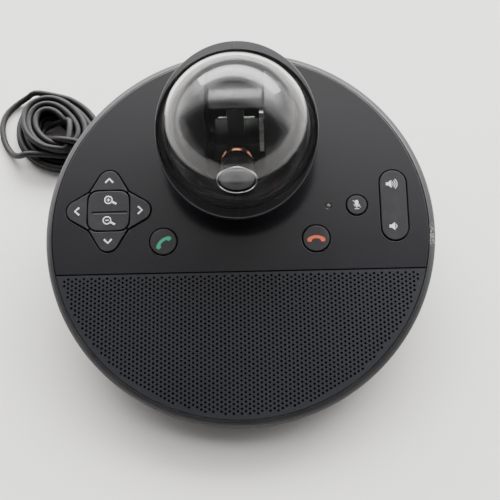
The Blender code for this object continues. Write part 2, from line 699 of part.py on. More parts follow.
def neck_and_drive(mats):
    low = FLOOR_TOP + GAP
    inner = PLUG_RADIUS + GAP
    turned("neck_socket", [
        (0, low), (socket_radius() + 7, low), (socket_radius() + 7, low + 2),
        (socket_radius(), low + 3), (socket_radius(), SHOULDER - GAP), (inner, SHOULDER - GAP),
        (inner, PLUG_BOTTOM - GAP), (0, PLUG_BOTTOM - GAP),
    ], PAN, mats["housing_black"], 28)
    bush = SPINDLE + GAP + BUSH_WALL
    cup = NECK_RADIUS - NECK_WALL
    well = SHOULDER + 1.5
    turned("neck", [
        (0, PLUG_BOTTOM), (PLUG_RADIUS, PLUG_BOTTOM), (PLUG_RADIUS, SHOULDER),
        (NECK_RADIUS, SHOULDER), (NECK_RADIUS, NECK_TOP), (cup, NECK_TOP),
        (cup, SHOULDER + 3), (bush + 2.4, SHOULDER + 3), (bush + 2.4, PAN_GEAR_BOTTOM - 3),
        (bush + GAP, PAN_GEAR_BOTTOM - 3), (bush + GAP, well), (0, well),
    ], PAN, mats["head_black"], 36)
    turned("pan_bearing", [
        (bush, well + GAP), (bush, PAN_GEAR_BOTTOM - 2.6), (bush + 2, PAN_GEAR_BOTTOM - 2.6),
        (bush + 2, PAN_GEAR_BOTTOM - 1.2), (SPINDLE + GAP, PAN_GEAR_BOTTOM - 1.2),
        (SPINDLE + GAP, well + GAP),
    ], PAN, mats["bronze"], 20)
    platform(mats, well + GAP)
    bore = ring_outline(SPINDLE + GAP, 20)
    plate("pan_gear", [gear_outline(PAN_TEETH, PAN_MODULE), bore], PAN_GEAR_BOTTOM,
          PAN_GEAR_BOTTOM + GEAR_WIDTH, PAN, mats["gear_plastic"])
    spacing = (PAN_TEETH + PINION_TEETH) * PAN_MODULE / 2
    # a gap of the pinion faces the tooth that the gear holds out at this angle
    place = PAN @ Matrix.Translation((0, spacing, 0))
    tooth_turn = Matrix.Rotation(pinion_phase(90.0, PAN_TEETH), 4, "Z")
    turned("pan_motor", [
        (0, SHOULDER + 3 + GAP), (MOTOR_RADIUS, SHOULDER + 3 + GAP),
        (MOTOR_RADIUS, PAN_GEAR_BOTTOM - 3), (2.2, PAN_GEAR_BOTTOM - 3),
        (2.2, PAN_GEAR_BOTTOM - 1.8), (0, PAN_GEAR_BOTTOM - 1.8),
    ], place, mats["steel"], 24)
    plate("pan_pinion", [gear_outline(PINION_TEETH, PAN_MODULE)], PAN_GEAR_BOTTOM - 0.5,
          PAN_GEAR_BOTTOM + GEAR_WIDTH + 0.5, place @ tooth_turn, mats["steel"])


def pinion_phase(direction, teeth):
    """Turn for a pinion lying in a direction from its gear, so that its gap meets a tooth."""
    gear_step = 360 / teeth
    pinion_step = 360 / PINION_TEETH
    past = (direction % gear_step) / gear_step          # share of a tooth past the line
    facing = direction + 180                            # the pinion looks back at the gear
    return radians(facing + (0.5 + past) * pinion_step)


def head_floor(y):
    """Underside of the head above the table, y behind the pan axis."""
    return HEAD_BOTTOM + y * tan(TILT)


def platform(mats, spindle_low):
    """Turntable with its spindle; its wall follows the sloping floor of the head."""
    count = 36
    top = PLATFORM_BOTTOM + PLATFORM
    inner = PLATFORM_RADIUS - 1.6

    def crown(radius):
        return [PAN @ Vector((p.x, p.y, max(head_floor(p.y) + HEAD_WALL + 1, top + 0.6)))
                for p in circle(radius, 0, count)]

    rings = [placed(PAN, circle(SPINDLE, spindle_low, count)),
             placed(PAN, circle(SPINDLE, PLATFORM_BOTTOM, count)),
             placed(PAN, circle(PLATFORM_RADIUS, PLATFORM_BOTTOM, count)),
             crown(PLATFORM_RADIUS), crown(inner), placed(PAN, circle(inner, top, count))]
    loft("pan_platform", rings, mats["head_black"])


# ---------------------------------------------------------------- head

def head_shells(mats):
    """The drum under the dome: upright wall, slanted rim and floor, in two halves."""
    def upright(radius, z_of_y):
        return [PAN @ Vector((p.x, p.y, z_of_y(p.y)))
                for p in circle(radius, 0, HEAD_SEGMENTS)]

    def rim_plane(y):
        return RING_HEIGHT + y * tan(LEAN)

    def slanted(radius, depth):
        return placed(RING, circle(radius, -depth, HEAD_SEGMENTS))

    def rounding(y):
        """Radius of the rounded lower edge where the wall stands y behind the pan axis."""
        return HEAD_ROUND * (rim_plane(y) - head_floor(y))

    def lower_edge(step):
        """A ring on the rounded lower edge: step 0 is on the wall and 1 on the floor."""
        angle = pi / 2 * step
        ring = []
        for p in circle(1, 0, HEAD_SEGMENTS):
            reach = rounding(p.y * HEAD_RADIUS)
            radius = HEAD_RADIUS - reach * (1 - cos(angle))
            z = head_floor(p.y * radius) + reach * (1 - sin(angle))
            ring.append(PAN @ Vector((p.x * radius, p.y * radius, z)))
        return ring

    def inside(share):
        """A ring on the inside of the floor, share of the way out to under the ledge."""
        ring = []
        for corner in slanted(LEDGE_RADIUS, POCKET_DEPTH):
            p = PAN.inverted() @ corner
            x, y = p.x * share, p.y * share
            radius = sqrt(x * x + y * y)
            reach = rounding(y / radius * HEAD_RADIUS)
            past = max(radius - (HEAD_RADIUS - reach), 0)
            z = head_floor(y) + reach - sqrt(reach * reach - past * past) + HEAD_WALL
            ring.append(PAN @ Vector((x, y, min(z, p.z - 0.6) if share == 1 else z)))
        return ring

    hole = PLATFORM_RADIUS + 0.5
    rings = [upright(HEAD_RADIUS, rim_plane)]
    rings += [lower_edge(step / 3) for step in range(4)]
    rings.append(upright(hole, head_floor))
    rings.append(upright(hole, lambda y: head_floor(y) + HEAD_WALL))
    rings += [inside(0.85), inside(1)]
    rings.append(slanted(LEDGE_RADIUS, POCKET_DEPTH))
    rings.append(slanted(POCKET_RADIUS, POCKET_DEPTH))
    rings.append(slanted(POCKET_RADIUS, 0))
    whole = loft("head_shell_left", rings, mats["head_black"], closed=True)
    other = whole.copy()
    other.data = whole.data.copy()
    other.name = "head_shell_right"
    bpy.context.collection.objects.link(other)
    for obj, side in ((whole, -1), (other, 1)):
        half = bmesh.new()
        half.from_mesh(obj.data)
        cut = bmesh.ops.bisect_plane(
            half, geom=half.verts[:] + half.edges[:] + half.faces[:], dist=1e-7,
            plane_co=(side * GAP / 2 * METRE, 0, 0), plane_no=(-side, 0, 0), clear_outer=True)
        edges = [item for item in cut["geom_cut"] if isinstance(item, bmesh.types.BMEdge)]
        bmesh.ops.holes_fill(half, edges=edges, sides=0)
        bmesh.ops.recalc_face_normals(half, faces=half.faces)
        half.to_mesh(obj.data)
        half.free()


def dome(mats):
    turned("dome_seal", [
        (LEDGE_RADIUS + 0.3, GAP - POCKET_DEPTH), (POCKET_RADIUS - 0.4, GAP - POCKET_DEPTH),
        (POCKET_RADIUS - 0.4, GAP + SEAL - POCKET_DEPTH),
        (LEDGE_RADIUS + 0.3, GAP + SEAL - POCKET_DEPTH),
    ], RING, mats["soft_rubber"], 32)
    base = 2 * GAP + SEAL - POCKET_DEPTH
    profile = [(POCKET_RADIUS - 0.4, base), (POCKET_RADIUS - 0.4, base + DOME_FLANGE),
               (FLANGE_STEP, base + DOME_FLANGE), (FLANGE_STEP, base + DOME_FLANGE - 0.5),
               (DOME_RADIUS + 0.9, base + DOME_FLANGE - 0.5)]
    start = degrees(atan2(base + DOME_FLANGE, DOME_RADIUS))
    profile += arc((0, 0), DOME_RADIUS, start, 90, 6)
    profile += arc((0, 0), DOME_RADIUS - DOME_WALL, 90, 0, 5)
    profile.append((DOME_RADIUS - DOME_WALL, base))
    bowl("clear_dome", profile, RING, mats["clear"], 36)


def bowl(name, profile, matrix, mat, count):
    """Turn an outline that starts and ends off the axis and touches it twice in its middle."""
    bm = bmesh.new()
    rows = []
    for radius, z in profile:
        if radius < 0.01:
            rows.append([bm.verts.new(matrix @ Vector((0, 0, z)))])
        else:
            rows.append([bm.verts.new(p) for p in placed(matrix, circle(radius, z, count))])
    for low, high in zip(rows, rows[1:] + rows[:1]):
        if len(low) == len(high) == 1:
            continue
        for i in range(count):
            j = (i + 1) % count
            corners = [low[i % len(low)], low[j % len(low)], high[j % len(high)],
                       high[i % len(high)]]
            bm.faces.new([v for k, v in enumerate(corners) if v not in corners[:k]])
    return finish(name, bm, mat)


def cheeks(mats):
    """Ball covers beside the lens slot; each carries a side plate with a tilt bearing."""
    centre = PAN @ Matrix.Translation((0, 0, RING_HEIGHT))
    for side, label in ((-1, "left"), (1, "right")):
        along = centre @ Matrix.Rotation(side * pi / 2, 4, "Y")
        inner = CHEEK_RADIUS - CHEEK_WALL
        outer_start = degrees(acos(SLOT_HALF / CHEEK_RADIUS))
        inner_start = degrees(acos(SLOT_HALF / inner))
        outer = [(CHEEK_RADIUS * sin(radians(a)), CHEEK_RADIUS * cos(radians(a)))
                 for a in [outer_start * (1 - i / 5) for i in range(6)]]
        cover = [(inner * sin(radians(a)), inner * cos(radians(a)))
                 for a in [inner_start * i / 5 for i in range(6)]]
        cheek = bowl(f"cheek_{label}", outer + cover, along, mats["inner_gloss"], 28)
        reach = CHEEK_RADIUS + 5
        trim = block("trim", (-reach, -reach, CHEEK_CUT), (reach, reach, reach), centre,
                     mats["inner_gloss"])
        boolean(cheek, [trim], "INTERSECT")
        low = PLATFORM_BOTTOM + PLATFORM + GAP - RING_HEIGHT
        ends = sorted((side * (SLOT_HALF + 0.3), side * (SLOT_HALF + 0.3 + YOKE)))
        wall = block("wall", (ends[0], -9, low), (ends[1], 14, CHEEK_CUT + 22), centre,
                     mats["inner_gloss"])
        boolean(cheek, [wall], "UNION")
        bore = turned("bore", [
            (0, SLOT_HALF - 3), (TRUNNION + GAP, SLOT_HALF - 3), (TRUNNION + GAP, SLOT_HALF + 5),
            (0, SLOT_HALF + 5),
        ], TILT_AXIS @ Matrix.Rotation(side * pi / 2, 4, "Y"), mats["inner_gloss"], 24)
        cuts = [bore]
        if side > 0:
            x, z = tilt_pinion_place()
            cuts.append(turned("bore", [
                (0, SLOT_HALF - 3), (1.6, SLOT_HALF - 3), (1.6, SLOT_HALF + 5),
                (0, SLOT_HALF + 5),
            ], TILT_AXIS @ Matrix.Translation((0, x, z)) @ Matrix.Rotation(pi / 2, 4, "Y"),
                mats["inner_gloss"], 12))
        boolean(cheek, cuts, "DIFFERENCE")


# ---------------------------------------------------------------- camera

def tilt_pinion_place():
    """Middle of the tilt pinion behind and above the tilt axis: how far back and how far up."""
    spacing = (TILT_TEETH + PINION_TEETH) * TILT_MODULE / 2
    angle = radians(TILT_PINION_ANGLE)
    return -spacing * cos(angle), spacing * sin(angle)


def camera(mats):
    housing = block("lens_housing", (-HOUSING_HALF, -5.5, -7), (HOUSING_HALF, 9, 14), LENS,
                    mats["housing_black"])
    pins = turned("pins", [
        (0, -SLOT_HALF - 1.5), (TRUNNION, -SLOT_HALF - 1.5), (TRUNNION, SLOT_HALF + 1.5),
        (0, SLOT_HALF + 1.5),
    ], SHAFT, mats["housing_black"], 24)
    boolean(housing, [pins], "UNION")
    turned("lens_barrel", [
        (0, 14 + GAP), (BARREL_RADIUS - 1.5, 14 + GAP), (BARREL_RADIUS - 1.5, 20),
        (BARREL_RADIUS, 20.5), (BARREL_RADIUS, 29), (LENS_RADIUS - 0.7, 30),
        (LENS_RADIUS - 0.7, 31.6), (0, 31.6),
    ], LENS, mats["housing_black"], 24)
    turned("lens_ring", [
        (LENS_RADIUS - 1.5, 31.6 + GAP), (LENS_RADIUS, 31.6 + GAP),
        (LENS_RADIUS, LENS_REACH - 0.4), (LENS_RADIUS - 0.4, LENS_REACH),
        (LENS_RADIUS - 1.5, LENS_REACH - 0.6),
    ], LENS, mats["lens_silver"], 28)
    glass = LENS_RADIUS - 1.8
    turned("lens_glass", [
        (0, 31.6 + GAP), (glass, 31.6 + GAP), (glass, 33.0), (glass * 0.6, 33.8), (0, 34.1),
    ], LENS, mats["lens_glass"], 24)
    block("sensor_board", (-11, -3.0, -8.5), (11, 9, -7.0 - GAP), LENS, mats["board_green"])
    slot_shield(mats)
    bore = ring_outline(TRUNNION + GAP, 24)
    low = HOUSING_HALF + GAP
    plate("tilt_gear", [gear_outline(TILT_TEETH, TILT_MODULE), bore], low, low + 2.6, SHAFT,
          mats["gear_plastic"])
    back, up = tilt_pinion_place()
    # gear angles run in SHAFT's plane: its x points down and its y points back
    direction = degrees(atan2(back, -up))
    spot = TILT_AXIS @ Matrix.Translation((0, back, up)) @ Matrix.Rotation(pi / 2, 4, "Y")
    spot_turned = spot @ Matrix.Rotation(pinion_phase(direction, TILT_TEETH), 4, "Z")
    pinion = plate("tilt_pinion", [gear_outline(PINION_TEETH, TILT_MODULE)], low, low + 2.6,
                   spot_turned, mats["steel"])
    shaft = turned("shaft", [
        (0, low + 1), (1.2, low + 1), (1.2, SLOT_HALF + YOKE + 0.8), (0, SLOT_HALF + YOKE + 0.8),
    ], spot, mats["steel"], 12)
    boolean(pinion, [shaft], "UNION")
    face = SLOT_HALF + YOKE + 0.8 + GAP
    turned("tilt_motor", [
        (0, face), (MOTOR_RADIUS, face), (MOTOR_RADIUS, face + 9), (0, face + 9),
    ], spot, mats["steel"], 24)


def slot_shield(mats):
    """Curved shutter that turns with the lens and closes the slot above and behind it."""
    half = SLOT_HALF - 0.7
    count = 12
    rings = []
    for i in range(count + 1):
        angle = radians(SHIELD_START + (SHIELD_END - SHIELD_START) * i / count)
        ring = []
        for radius in (SHIELD_RADIUS, SHIELD_RADIUS - SHIELD):
            for x in ((-half, half) if radius == SHIELD_RADIUS else (half, -half)):
                ring.append(LENS @ Vector((x, radius * sin(angle), radius * cos(angle))))
        rings.append(ring)
    shield = loft("slot_shield", rings, mats["inner_gloss"])
    stem = block("stem", (-5, 9 + GAP, 1), (5, SHIELD_RADIUS - SHIELD / 2, 3.5), LENS,
                 mats["inner_gloss"])
    bridge = block("bridge", (-5, SHIELD_RADIUS - 3, 1), (5, SHIELD_RADIUS - SHIELD / 2, 9),
                   LENS, mats["inner_gloss"])
    boolean(stem, [bridge], "UNION")
    boolean(shield, [stem], "UNION")


# ---------------------------------------------------------------- jacks and cable

def jacks(mats):
    back = Matrix.Rotation(-pi / 2, 4, "X")
    for name, x, hole, pin in (("power_jack", DC_X, 2.9, 1.0), ("headset_jack", AUDIO_X, 1.8, 0)):
        place = Matrix.Translation((x, wall_back(x) - JACK_INSET - JACK_LENGTH, GLAND_HEIGHT)) @ back
        profile = [(0, 0), (JACK_RADIUS, 0), (JACK_RADIUS, JACK_LENGTH), (hole, JACK_LENGTH), (hole, 1.6)]
        profile += [(pin, 1.6), (pin, 9.6), (0, 9.6)] if pin else [(0, 1.6)]
        turned(name, profile, place, mats["housing_black"], 16)


def smooth_route(points, count):
    """Points along a Catmull-Rom curve through the route's own points, evenly spread."""
    line = []
    padded = [2 * points[0] - points[1]] + points + [2 * points[-1] - points[-2]]
    for a, b, c, d in zip(padded, padded[1:], padded[2:], padded[3:]):
        for step in range(24):
            t = step / 24
            line.append(0.5 * ((2 * b) + (c - a) * t + (2 * a - 5 * b + 4 * c - d) * t ** 2
                               + (3 * b - a - 3 * c + d) * t ** 3))
    line.append(points[-1])
    lengths = [0.0]
    for a, b in zip(line, line[1:]):
        lengths.append(lengths[-1] + (b - a).length)
    even = []
    for i in range(count):
        goal = lengths[-1] * i / (count - 1)
        k = max(j for j, value in enumerate(lengths) if value <= goal + 1e-9)
        k = min(k, len(line) - 2)
        span = lengths[k + 1] - lengths[k]
        even.append(line[k].lerp(line[k + 1], (goal - lengths[k]) / span))
    return even


def cable_tube(name, points, count, mat):
    curve = bpy.data.curves.new(name, "CURVE")
    curve.dimensions = "3D"
    curve.bevel_depth = CABLE_RADIUS * METRE
    curve.bevel_resolution = 2
    curve.use_fill_caps = True
    spline = curve.splines.new("POLY")
    spline.points.add(count - 1)
    for point, place in zip(spline.points, smooth_route(points, count)):
        point.co = (*(place * METRE), 1.0)
    obj = bpy.data.objects.new(name, curve)
    bpy.context.collection.objects.link(obj)
    curve.materials.append(mat)
    return obj


def coil_ring(angle, inset):
    """A point of the coil's oval, inset from its outer edge."""
    a = COIL_OUTER[0] - inset * (COIL_OUTER[0] - COIL_INNER[0])
    b = COIL_OUTER[1] - inset * (COIL_OUTER[1] - COIL_INNER[1])
    turn = Matrix.Rotation(radians(COIL_TURN), 4, "Z")
    return Vector((COIL_X, COIL_Y, 0)) + turn @ Vector((a * cos(angle), b * sin(angle), 0))


def cable(mats):
    wall = wall_back(GLAND_X)
    place = Matrix.Translation((GLAND_X, wall + GAP, GLAND_HEIGHT))
    place = place @ Matrix.Rotation(-pi / 2, 4, "X")
    turned("cable_gland", [
        (0, -3), (4.2, -3), (4.2, 2.4), (CABLE_RADIUS + 1.0, GLAND_LENGTH), (0, GLAND_LENGTH),
    ], place, mats["soft_rubber"], 20)
    count = 32
    section = [(0.0, 0.12), (0.0, 0.75), (0.16, 1.0), (0.84, 1.0), (1.0, 0.75), (1.0, 0.12),
               (0.84, 0.0), (0.16, 0.0)]
    rings = []
    for inset, height in section:
        rings.append([coil_ring(2 * pi * i / count, inset)
                      + Vector((0, 0, GAP + height * COIL_HEIGHT)) for i in range(count)])
    loft("cable_coil", rings, mats["cable_black"], closed=True)
    exit_y = wall + GAP + GLAND_LENGTH
    low = CABLE_RADIUS + GAP
    lead = [Vector(p) for p in (
        (GLAND_X, exit_y + GAP, GLAND_HEIGHT), (GLAND_X, exit_y + 4, GLAND_HEIGHT - 0.2),
        (GLAND_X - 1, exit_y + 9, 9.6), (GLAND_X - 7, exit_y + 15.5, 5.5), (GLAND_X - 18, exit_y + 18, low + 0.4),
        (-48.0, 131.0, low), (-62.0, 120.0, low), (-76.0, 110.5, low), (-89.0, 107.5, low),
        (-98.5, 111.5, low),
    )]
    cable_tube("usb_cable", lead, 20, mats["cable_black"])
    loop = [Vector(p) for p in (
        (-147.5, 136.0, 7.5), (-155.5, 134.2, 4.5), (-164.2, 128.6, low), (-169.6, 121.0, low),
        (-171.4, 112.0, low), (-170.0, 102.5, low), (-166.5, 93.6, low), (-161.0, 86.0, 4.0),
        (-155.8, 80.0, 7.5),
    )]
    cable_tube("cable_loop", loop, 18, mats["cable_black"])
    usb_plug(mats)


def usb_plug(mats):
    """Plug on the cable's far end, lying beside the coil where the last turn leaves it."""
    place = Matrix.Translation((PLUG_X, PLUG_Y, PLUG_HEIGHT / 2 + GAP))
    place = place @ Matrix.Rotation(radians(PLUG_TURN), 4, "Z")
    half = PLUG_WIDTH / 2
    grip = soften(block("usb_plug", (PLUG_SLEEVE, -half, -PLUG_HEIGHT / 2),
                        (PLUG_SLEEVE + PLUG_GRIP, half, PLUG_HEIGHT / 2), place,
                        mats["cable_black"]), 1.2)
    evaluated = grip.evaluated_get(bpy.context.evaluated_depsgraph_get())
    mesh = bpy.data.meshes.new_from_object(evaluated)
    grip.modifiers.clear()
    grip.data = mesh
    sleeve = turned("sleeve", [
        (0, 0), (CABLE_RADIUS + 0.6, 0), (CABLE_RADIUS + 1.4, PLUG_SLEEVE + 2),
        (0, PLUG_SLEEVE + 2),
    ], place @ Matrix.Rotation(pi / 2, 4, "Y"), mats["cable_black"], 16)
    tongue = block("tongue", (PLUG_SLEEVE + PLUG_GRIP - 1, -PLUG_METAL / 2, -2.25),
                   (PLUG_SLEEVE + PLUG_GRIP + 12, PLUG_METAL / 2, 2.25), place, mats["steel"])
    boolean(grip, [sleeve, tongue], "UNION")


# ---------------------------------------------------------------- the whole object

def main():
    clear_scene()
    mats = finishes()
    base_shell(mats)
    rim_ring(mats)
    deck_panel(mats)
    speaker_grille(mats)
    grille_cloth(mats)
    inner_frame(mats)
    base_fasteners(mats)
    ballast_plate(mats)
    main_board(mats)
    key_mat(mats)
    key_board(mats)
    status_led(mats)
    microphone(mats)
    loudspeaker(mats)
    keys(mats)
    neck_and_drive(mats)
    head_shells(mats)
    dome(mats)
    cheeks(mats)
    camera(mats)
    jacks(mats)
    cable(mats)


main()
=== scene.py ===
import json
from math import acos, asin, atan2, cos, degrees, pi, radians, sin, sqrt, tan

import bpy
from mathutils import Matrix, Vector


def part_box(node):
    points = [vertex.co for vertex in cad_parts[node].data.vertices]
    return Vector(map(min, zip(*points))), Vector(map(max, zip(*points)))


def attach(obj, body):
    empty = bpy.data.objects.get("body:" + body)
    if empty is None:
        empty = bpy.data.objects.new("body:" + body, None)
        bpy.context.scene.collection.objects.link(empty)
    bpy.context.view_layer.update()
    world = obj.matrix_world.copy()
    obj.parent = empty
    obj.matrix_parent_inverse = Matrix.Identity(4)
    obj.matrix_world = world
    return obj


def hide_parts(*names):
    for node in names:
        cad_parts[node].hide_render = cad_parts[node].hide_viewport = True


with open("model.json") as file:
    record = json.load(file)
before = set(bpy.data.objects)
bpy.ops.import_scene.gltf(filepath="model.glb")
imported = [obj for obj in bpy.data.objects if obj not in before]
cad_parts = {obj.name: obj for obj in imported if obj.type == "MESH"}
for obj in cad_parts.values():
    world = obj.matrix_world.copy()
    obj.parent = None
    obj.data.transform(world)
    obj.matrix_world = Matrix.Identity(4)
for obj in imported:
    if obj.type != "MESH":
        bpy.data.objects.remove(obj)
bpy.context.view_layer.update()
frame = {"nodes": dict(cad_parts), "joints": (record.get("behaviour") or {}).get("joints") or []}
joints = {joint["name"]: joint for joint in frame["joints"]}


# ---------------------------------------------------------------- studio
# A pale seamless table top stands in a dim room that glows from the rear, where a soft band of
# window and one wide area light are. The camera looks down from the user's seat.

class Value:
    """A socket of a material's nodes; Python arithmetic on it adds Math nodes."""

    def __init__(self, tree, socket):
        self.tree = tree
        self.socket = socket

    def math(self, operation, *values):
        return new_node(self.tree, "ShaderNodeMath", {"operation": operation},
                        dict(enumerate(values)))

    def __add__(self, other):
        return self.math("ADD", self, other)

    def __sub__(self, other):
        return self.math("SUBTRACT", self, other)

    def __rsub__(self, other):
        return self.math("SUBTRACT", other, self)

    def __mul__(self, other):
        return self.math("MULTIPLY", self, other)

    def above(self, edge, width):
        """0 below the edge and 1 past its width, with a straight slope between."""
        return new_node(self.tree, "ShaderNodeMapRange", {},
                        {"Value": self, "From Min": edge, "From Max": edge + width})

    def sine(self):
        return self.math("SINE", self)

    __radd__ = __add__
    __rmul__ = __mul__


def feed(tree, socket, value):
    if isinstance(value, Value):
        tree.links.new(value.socket, socket)
    else:
        socket.default_value = value


def new_node(tree, kind, settings, sockets, output=0):
    """A node of any kind: its settings first, then its sockets by name or by number."""
    node = tree.nodes.new(kind)
    for name, value in settings.items():
        setattr(node, name, value)
    for key, value in sockets.items():
        feed(tree, node.inputs[key], value)
    return Value(tree, node.outputs[output])


class Finish:
    """One material: plain numbers sit on the shader's own sockets, patterns are linked to them."""

    def __init__(self, name, colour, roughness, **sockets):
        self.material = bpy.data.materials.new(name)
        self.material.use_nodes = True
        self.tree = self.material.node_tree
        self.shader = self.tree.nodes["Principled BSDF"]
        self.put(Base_Color=(*colour, 1.0), Roughness=roughness, **sockets)

    def put(self, **sockets):
        for name, value in sockets.items():
            feed(self.tree, self.shader.inputs[name.replace("_", " ")], value)
        return self

    def node(self, kind, settings, sockets, output=0):
        return new_node(self.tree, kind, settings, sockets, output)

    def place(self):
        """Object coordinates."""
        return self.node("ShaderNodeTexCoord", {}, {}, 3)

    def noise(self, scale, detail=3.0, **sockets):
        return self.node("ShaderNodeTexNoise", {}, {"Vector": self.place(), "Scale": scale,
                                                    "Detail": detail, **sockets})

    def cells(self, scale, feature="F1"):
        return self.node("ShaderNodeTexVoronoi", {"feature": feature},
                         {"Vector": self.place(), "Scale": scale})

    def waves(self, scale, direction):
        return self.node("ShaderNodeTexWave", {"bands_direction": direction},
                         {"Vector": self.place(), "Scale": scale})

    def away_from(self, point):
        return self.node("ShaderNodeVectorMath", {"operation": "DISTANCE"},
                         {0: self.place(), 1: point}, 1)

    def along(self, direction):
        return self.node("ShaderNodeVectorMath", {"operation": "DOT_PRODUCT"},
                         {0: self.place(), 1: direction}, 1)

    def mix(self, share, low, high):
        """A colour between two: all low where the share is 0, all high where it is 1."""
        low, high = [colour if isinstance(colour, Value) else (*colour, 1.0)
                     for colour in (low, high)]
        return self.node("ShaderNodeMix", {"data_type": "RGBA"}, {0: share, 6: low, 7: high}, 2)

    def bump(self, height, distance, strength=1.0):
        return self.put(Normal=self.node("ShaderNodeBump", {}, {
            "Height": height, "Distance": distance, "Strength": strength}))

    def paint(self, *objects):
        for obj in objects:
            obj.data.materials.clear()
            obj.data.materials.append(self.material)


def select_only(*objects):
    bpy.ops.object.select_all(action="DESELECT")
    for obj in objects:
        obj.select_set(True)
    bpy.context.view_layer.objects.active = objects[0]


bpy.ops.object.select_all(action="DESELECT")
bpy.ops.mesh.primitive_plane_add(size=8.0)
table_top = bpy.context.object
table_top.name = "table_top"
select_only(table_top)
bpy.ops.object.mode_set(mode="EDIT")
bpy.ops.mesh.subdivide(number_cuts=3)
bpy.ops.object.mode_set(mode="OBJECT")
paper = Finish("pale_paper", (0.88, 0.865, 0.85), 0.75)
cloudy = paper.noise(1.3, 2.0)
paper.put(Base_Color=paper.mix(cloudy, (0.87, 0.855, 0.84), (0.90, 0.885, 0.87)))
paper.paint(table_top)

studio = bpy.data.worlds.new("studio")
studio.use_nodes = True
background = studio.node_tree.nodes["Background"]
background.inputs["Color"].default_value = (1.0, 0.985, 0.975, 1.0)
bpy.context.scene.world = studio


def facing(axis):
    """How far a direction in the room points along an axis: 1 is straight along it."""
    direction = new_node(studio.node_tree, "ShaderNodeTexCoord", {}, {})
    return new_node(studio.node_tree, "ShaderNodeSeparateXYZ", {}, {0: direction}, axis)


DIM_ROOM, REAR_GLOW, GLOW_FALL, WINDOW_GLOW = 0.22, 2.4, 1.3, 12.0
REAR_SWING = 0.15
to_the_rear = facing(1) + facing(0) * REAR_SWING
upwards = facing(2)
glow = to_the_rear.above(0.03, 0.22) * REAR_GLOW - to_the_rear.above(0.30, 0.30) * GLOW_FALL
window = to_the_rear.above(0.30, 0.45) * upwards.above(0.22, 0.25)
window = window * (1 - upwards.above(0.48, 0.30))
feed(studio.node_tree, background.inputs["Strength"], window * WINDOW_GLOW + glow + DIM_ROOM)


def added(name, data):
    """Data put into the scene as an object."""
    obj = bpy.data.objects.new(name, data)
    bpy.context.collection.objects.link(obj)
    return obj


window_light = added("window_behind", bpy.data.lights.new("window_behind", "AREA"))
window_light.data.shape = "RECTANGLE"
window_light.data.size = 4.2
window_light.data.size_y = 0.9
window_light.data.energy = 120.0
window_light.location = (0.25, 1.9, 1.15)
light_aim = Vector((0.0, 0.0, 0.05)) - window_light.location
window_light.rotation_euler = light_aim.to_track_quat("-Z", "Y").to_euler()

camera = added("camera", bpy.data.cameras.new("camera"))
camera.data.lens = 65.9
camera.location = (0.0191, -0.2702, 0.5403)
camera.rotation_euler = (radians(27.24), radians(1.76), radians(-0.53))
bpy.context.scene.camera = camera


# ---------------------------------------------------------------- USB cable
# A round black vinyl cable, 4.4 mm thick and about 2.1 m long, moulded into its strain relief at
# the rear of the tub. The spare length lies in a hand-wound oval coil of four layers with one
# strand let out at the left, and ends in a flat moulded USB plug.

def rear_face(node):
    """The middle of the rear face of a node's box."""
    low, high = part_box(node)
    return Vector(((low.x + high.x) / 2, high.y, (low.z + high.z) / 2))


CABLE = 0.0022
TABLE_LINE = CABLE + 0.0003
cable_exit = rear_face("cable_gland")
lead_route = [cable_exit + Vector(step) for step in (
    (0.0, 0.0003, 0.0), (0.0, 0.004, -0.0002), (-0.001, 0.009, -0.0024),
    (-0.007, 0.0155, -0.0065),
)]
lead_route.append(Vector((cable_exit.x - 0.018, cable_exit.y + 0.018, TABLE_LINE + 0.0004)))
lead_route += [Vector((x, y, TABLE_LINE)) for x, y in (
    (-0.048, 0.131), (-0.062, 0.120), (-0.076, 0.1105), (-0.089, 0.1075), (-0.0985, 0.1115),
)]
coil_middle = Vector((-0.130, 0.101))
COIL_TURN, COIL_START = radians(-50), radians(88)
OUTER_LANE = (0.0338, 0.0278)
LANE, LAYER = 0.0045, 0.0044
POINTS_PER_TURN = 24


def coil_point(turns, lane, height):
    """A point of the winding, which drifts a little as a hand lays it."""
    angle = COIL_START + 2 * pi * turns
    drift = 0.0007 * sin(2 * angle + 1.0) + 0.0004 * sin(3 * angle)
    drift += 0.0002 * sin(7.3 * turns)
    a = OUTER_LANE[0] - lane * LANE + drift
    b = OUTER_LANE[1] - lane * LANE + drift
    x, y = a * cos(angle), b * sin(angle)
    return Vector((coil_middle.x + x * cos(COIL_TURN) - y * sin(COIL_TURN),
                   coil_middle.y + x * sin(COIL_TURN) + y * cos(COIL_TURN), height))


def wound(*stops):
    """Points along the winding between stops of (turns, lane, layer)."""
    points = []
    for (turns, lane, layer), (next_turns, next_lane, next_layer) in zip(stops, stops[1:]):
        count = max(2, round(POINTS_PER_TURN * (next_turns - turns)))
        for step in range(count):
            share = step / count
            level = layer + (next_layer - layer) * share
            points.append(coil_point(turns + (next_turns - turns) * share,
                                     lane + (next_lane - lane) * share,
                                     TABLE_LINE + level * LAYER))
    return points


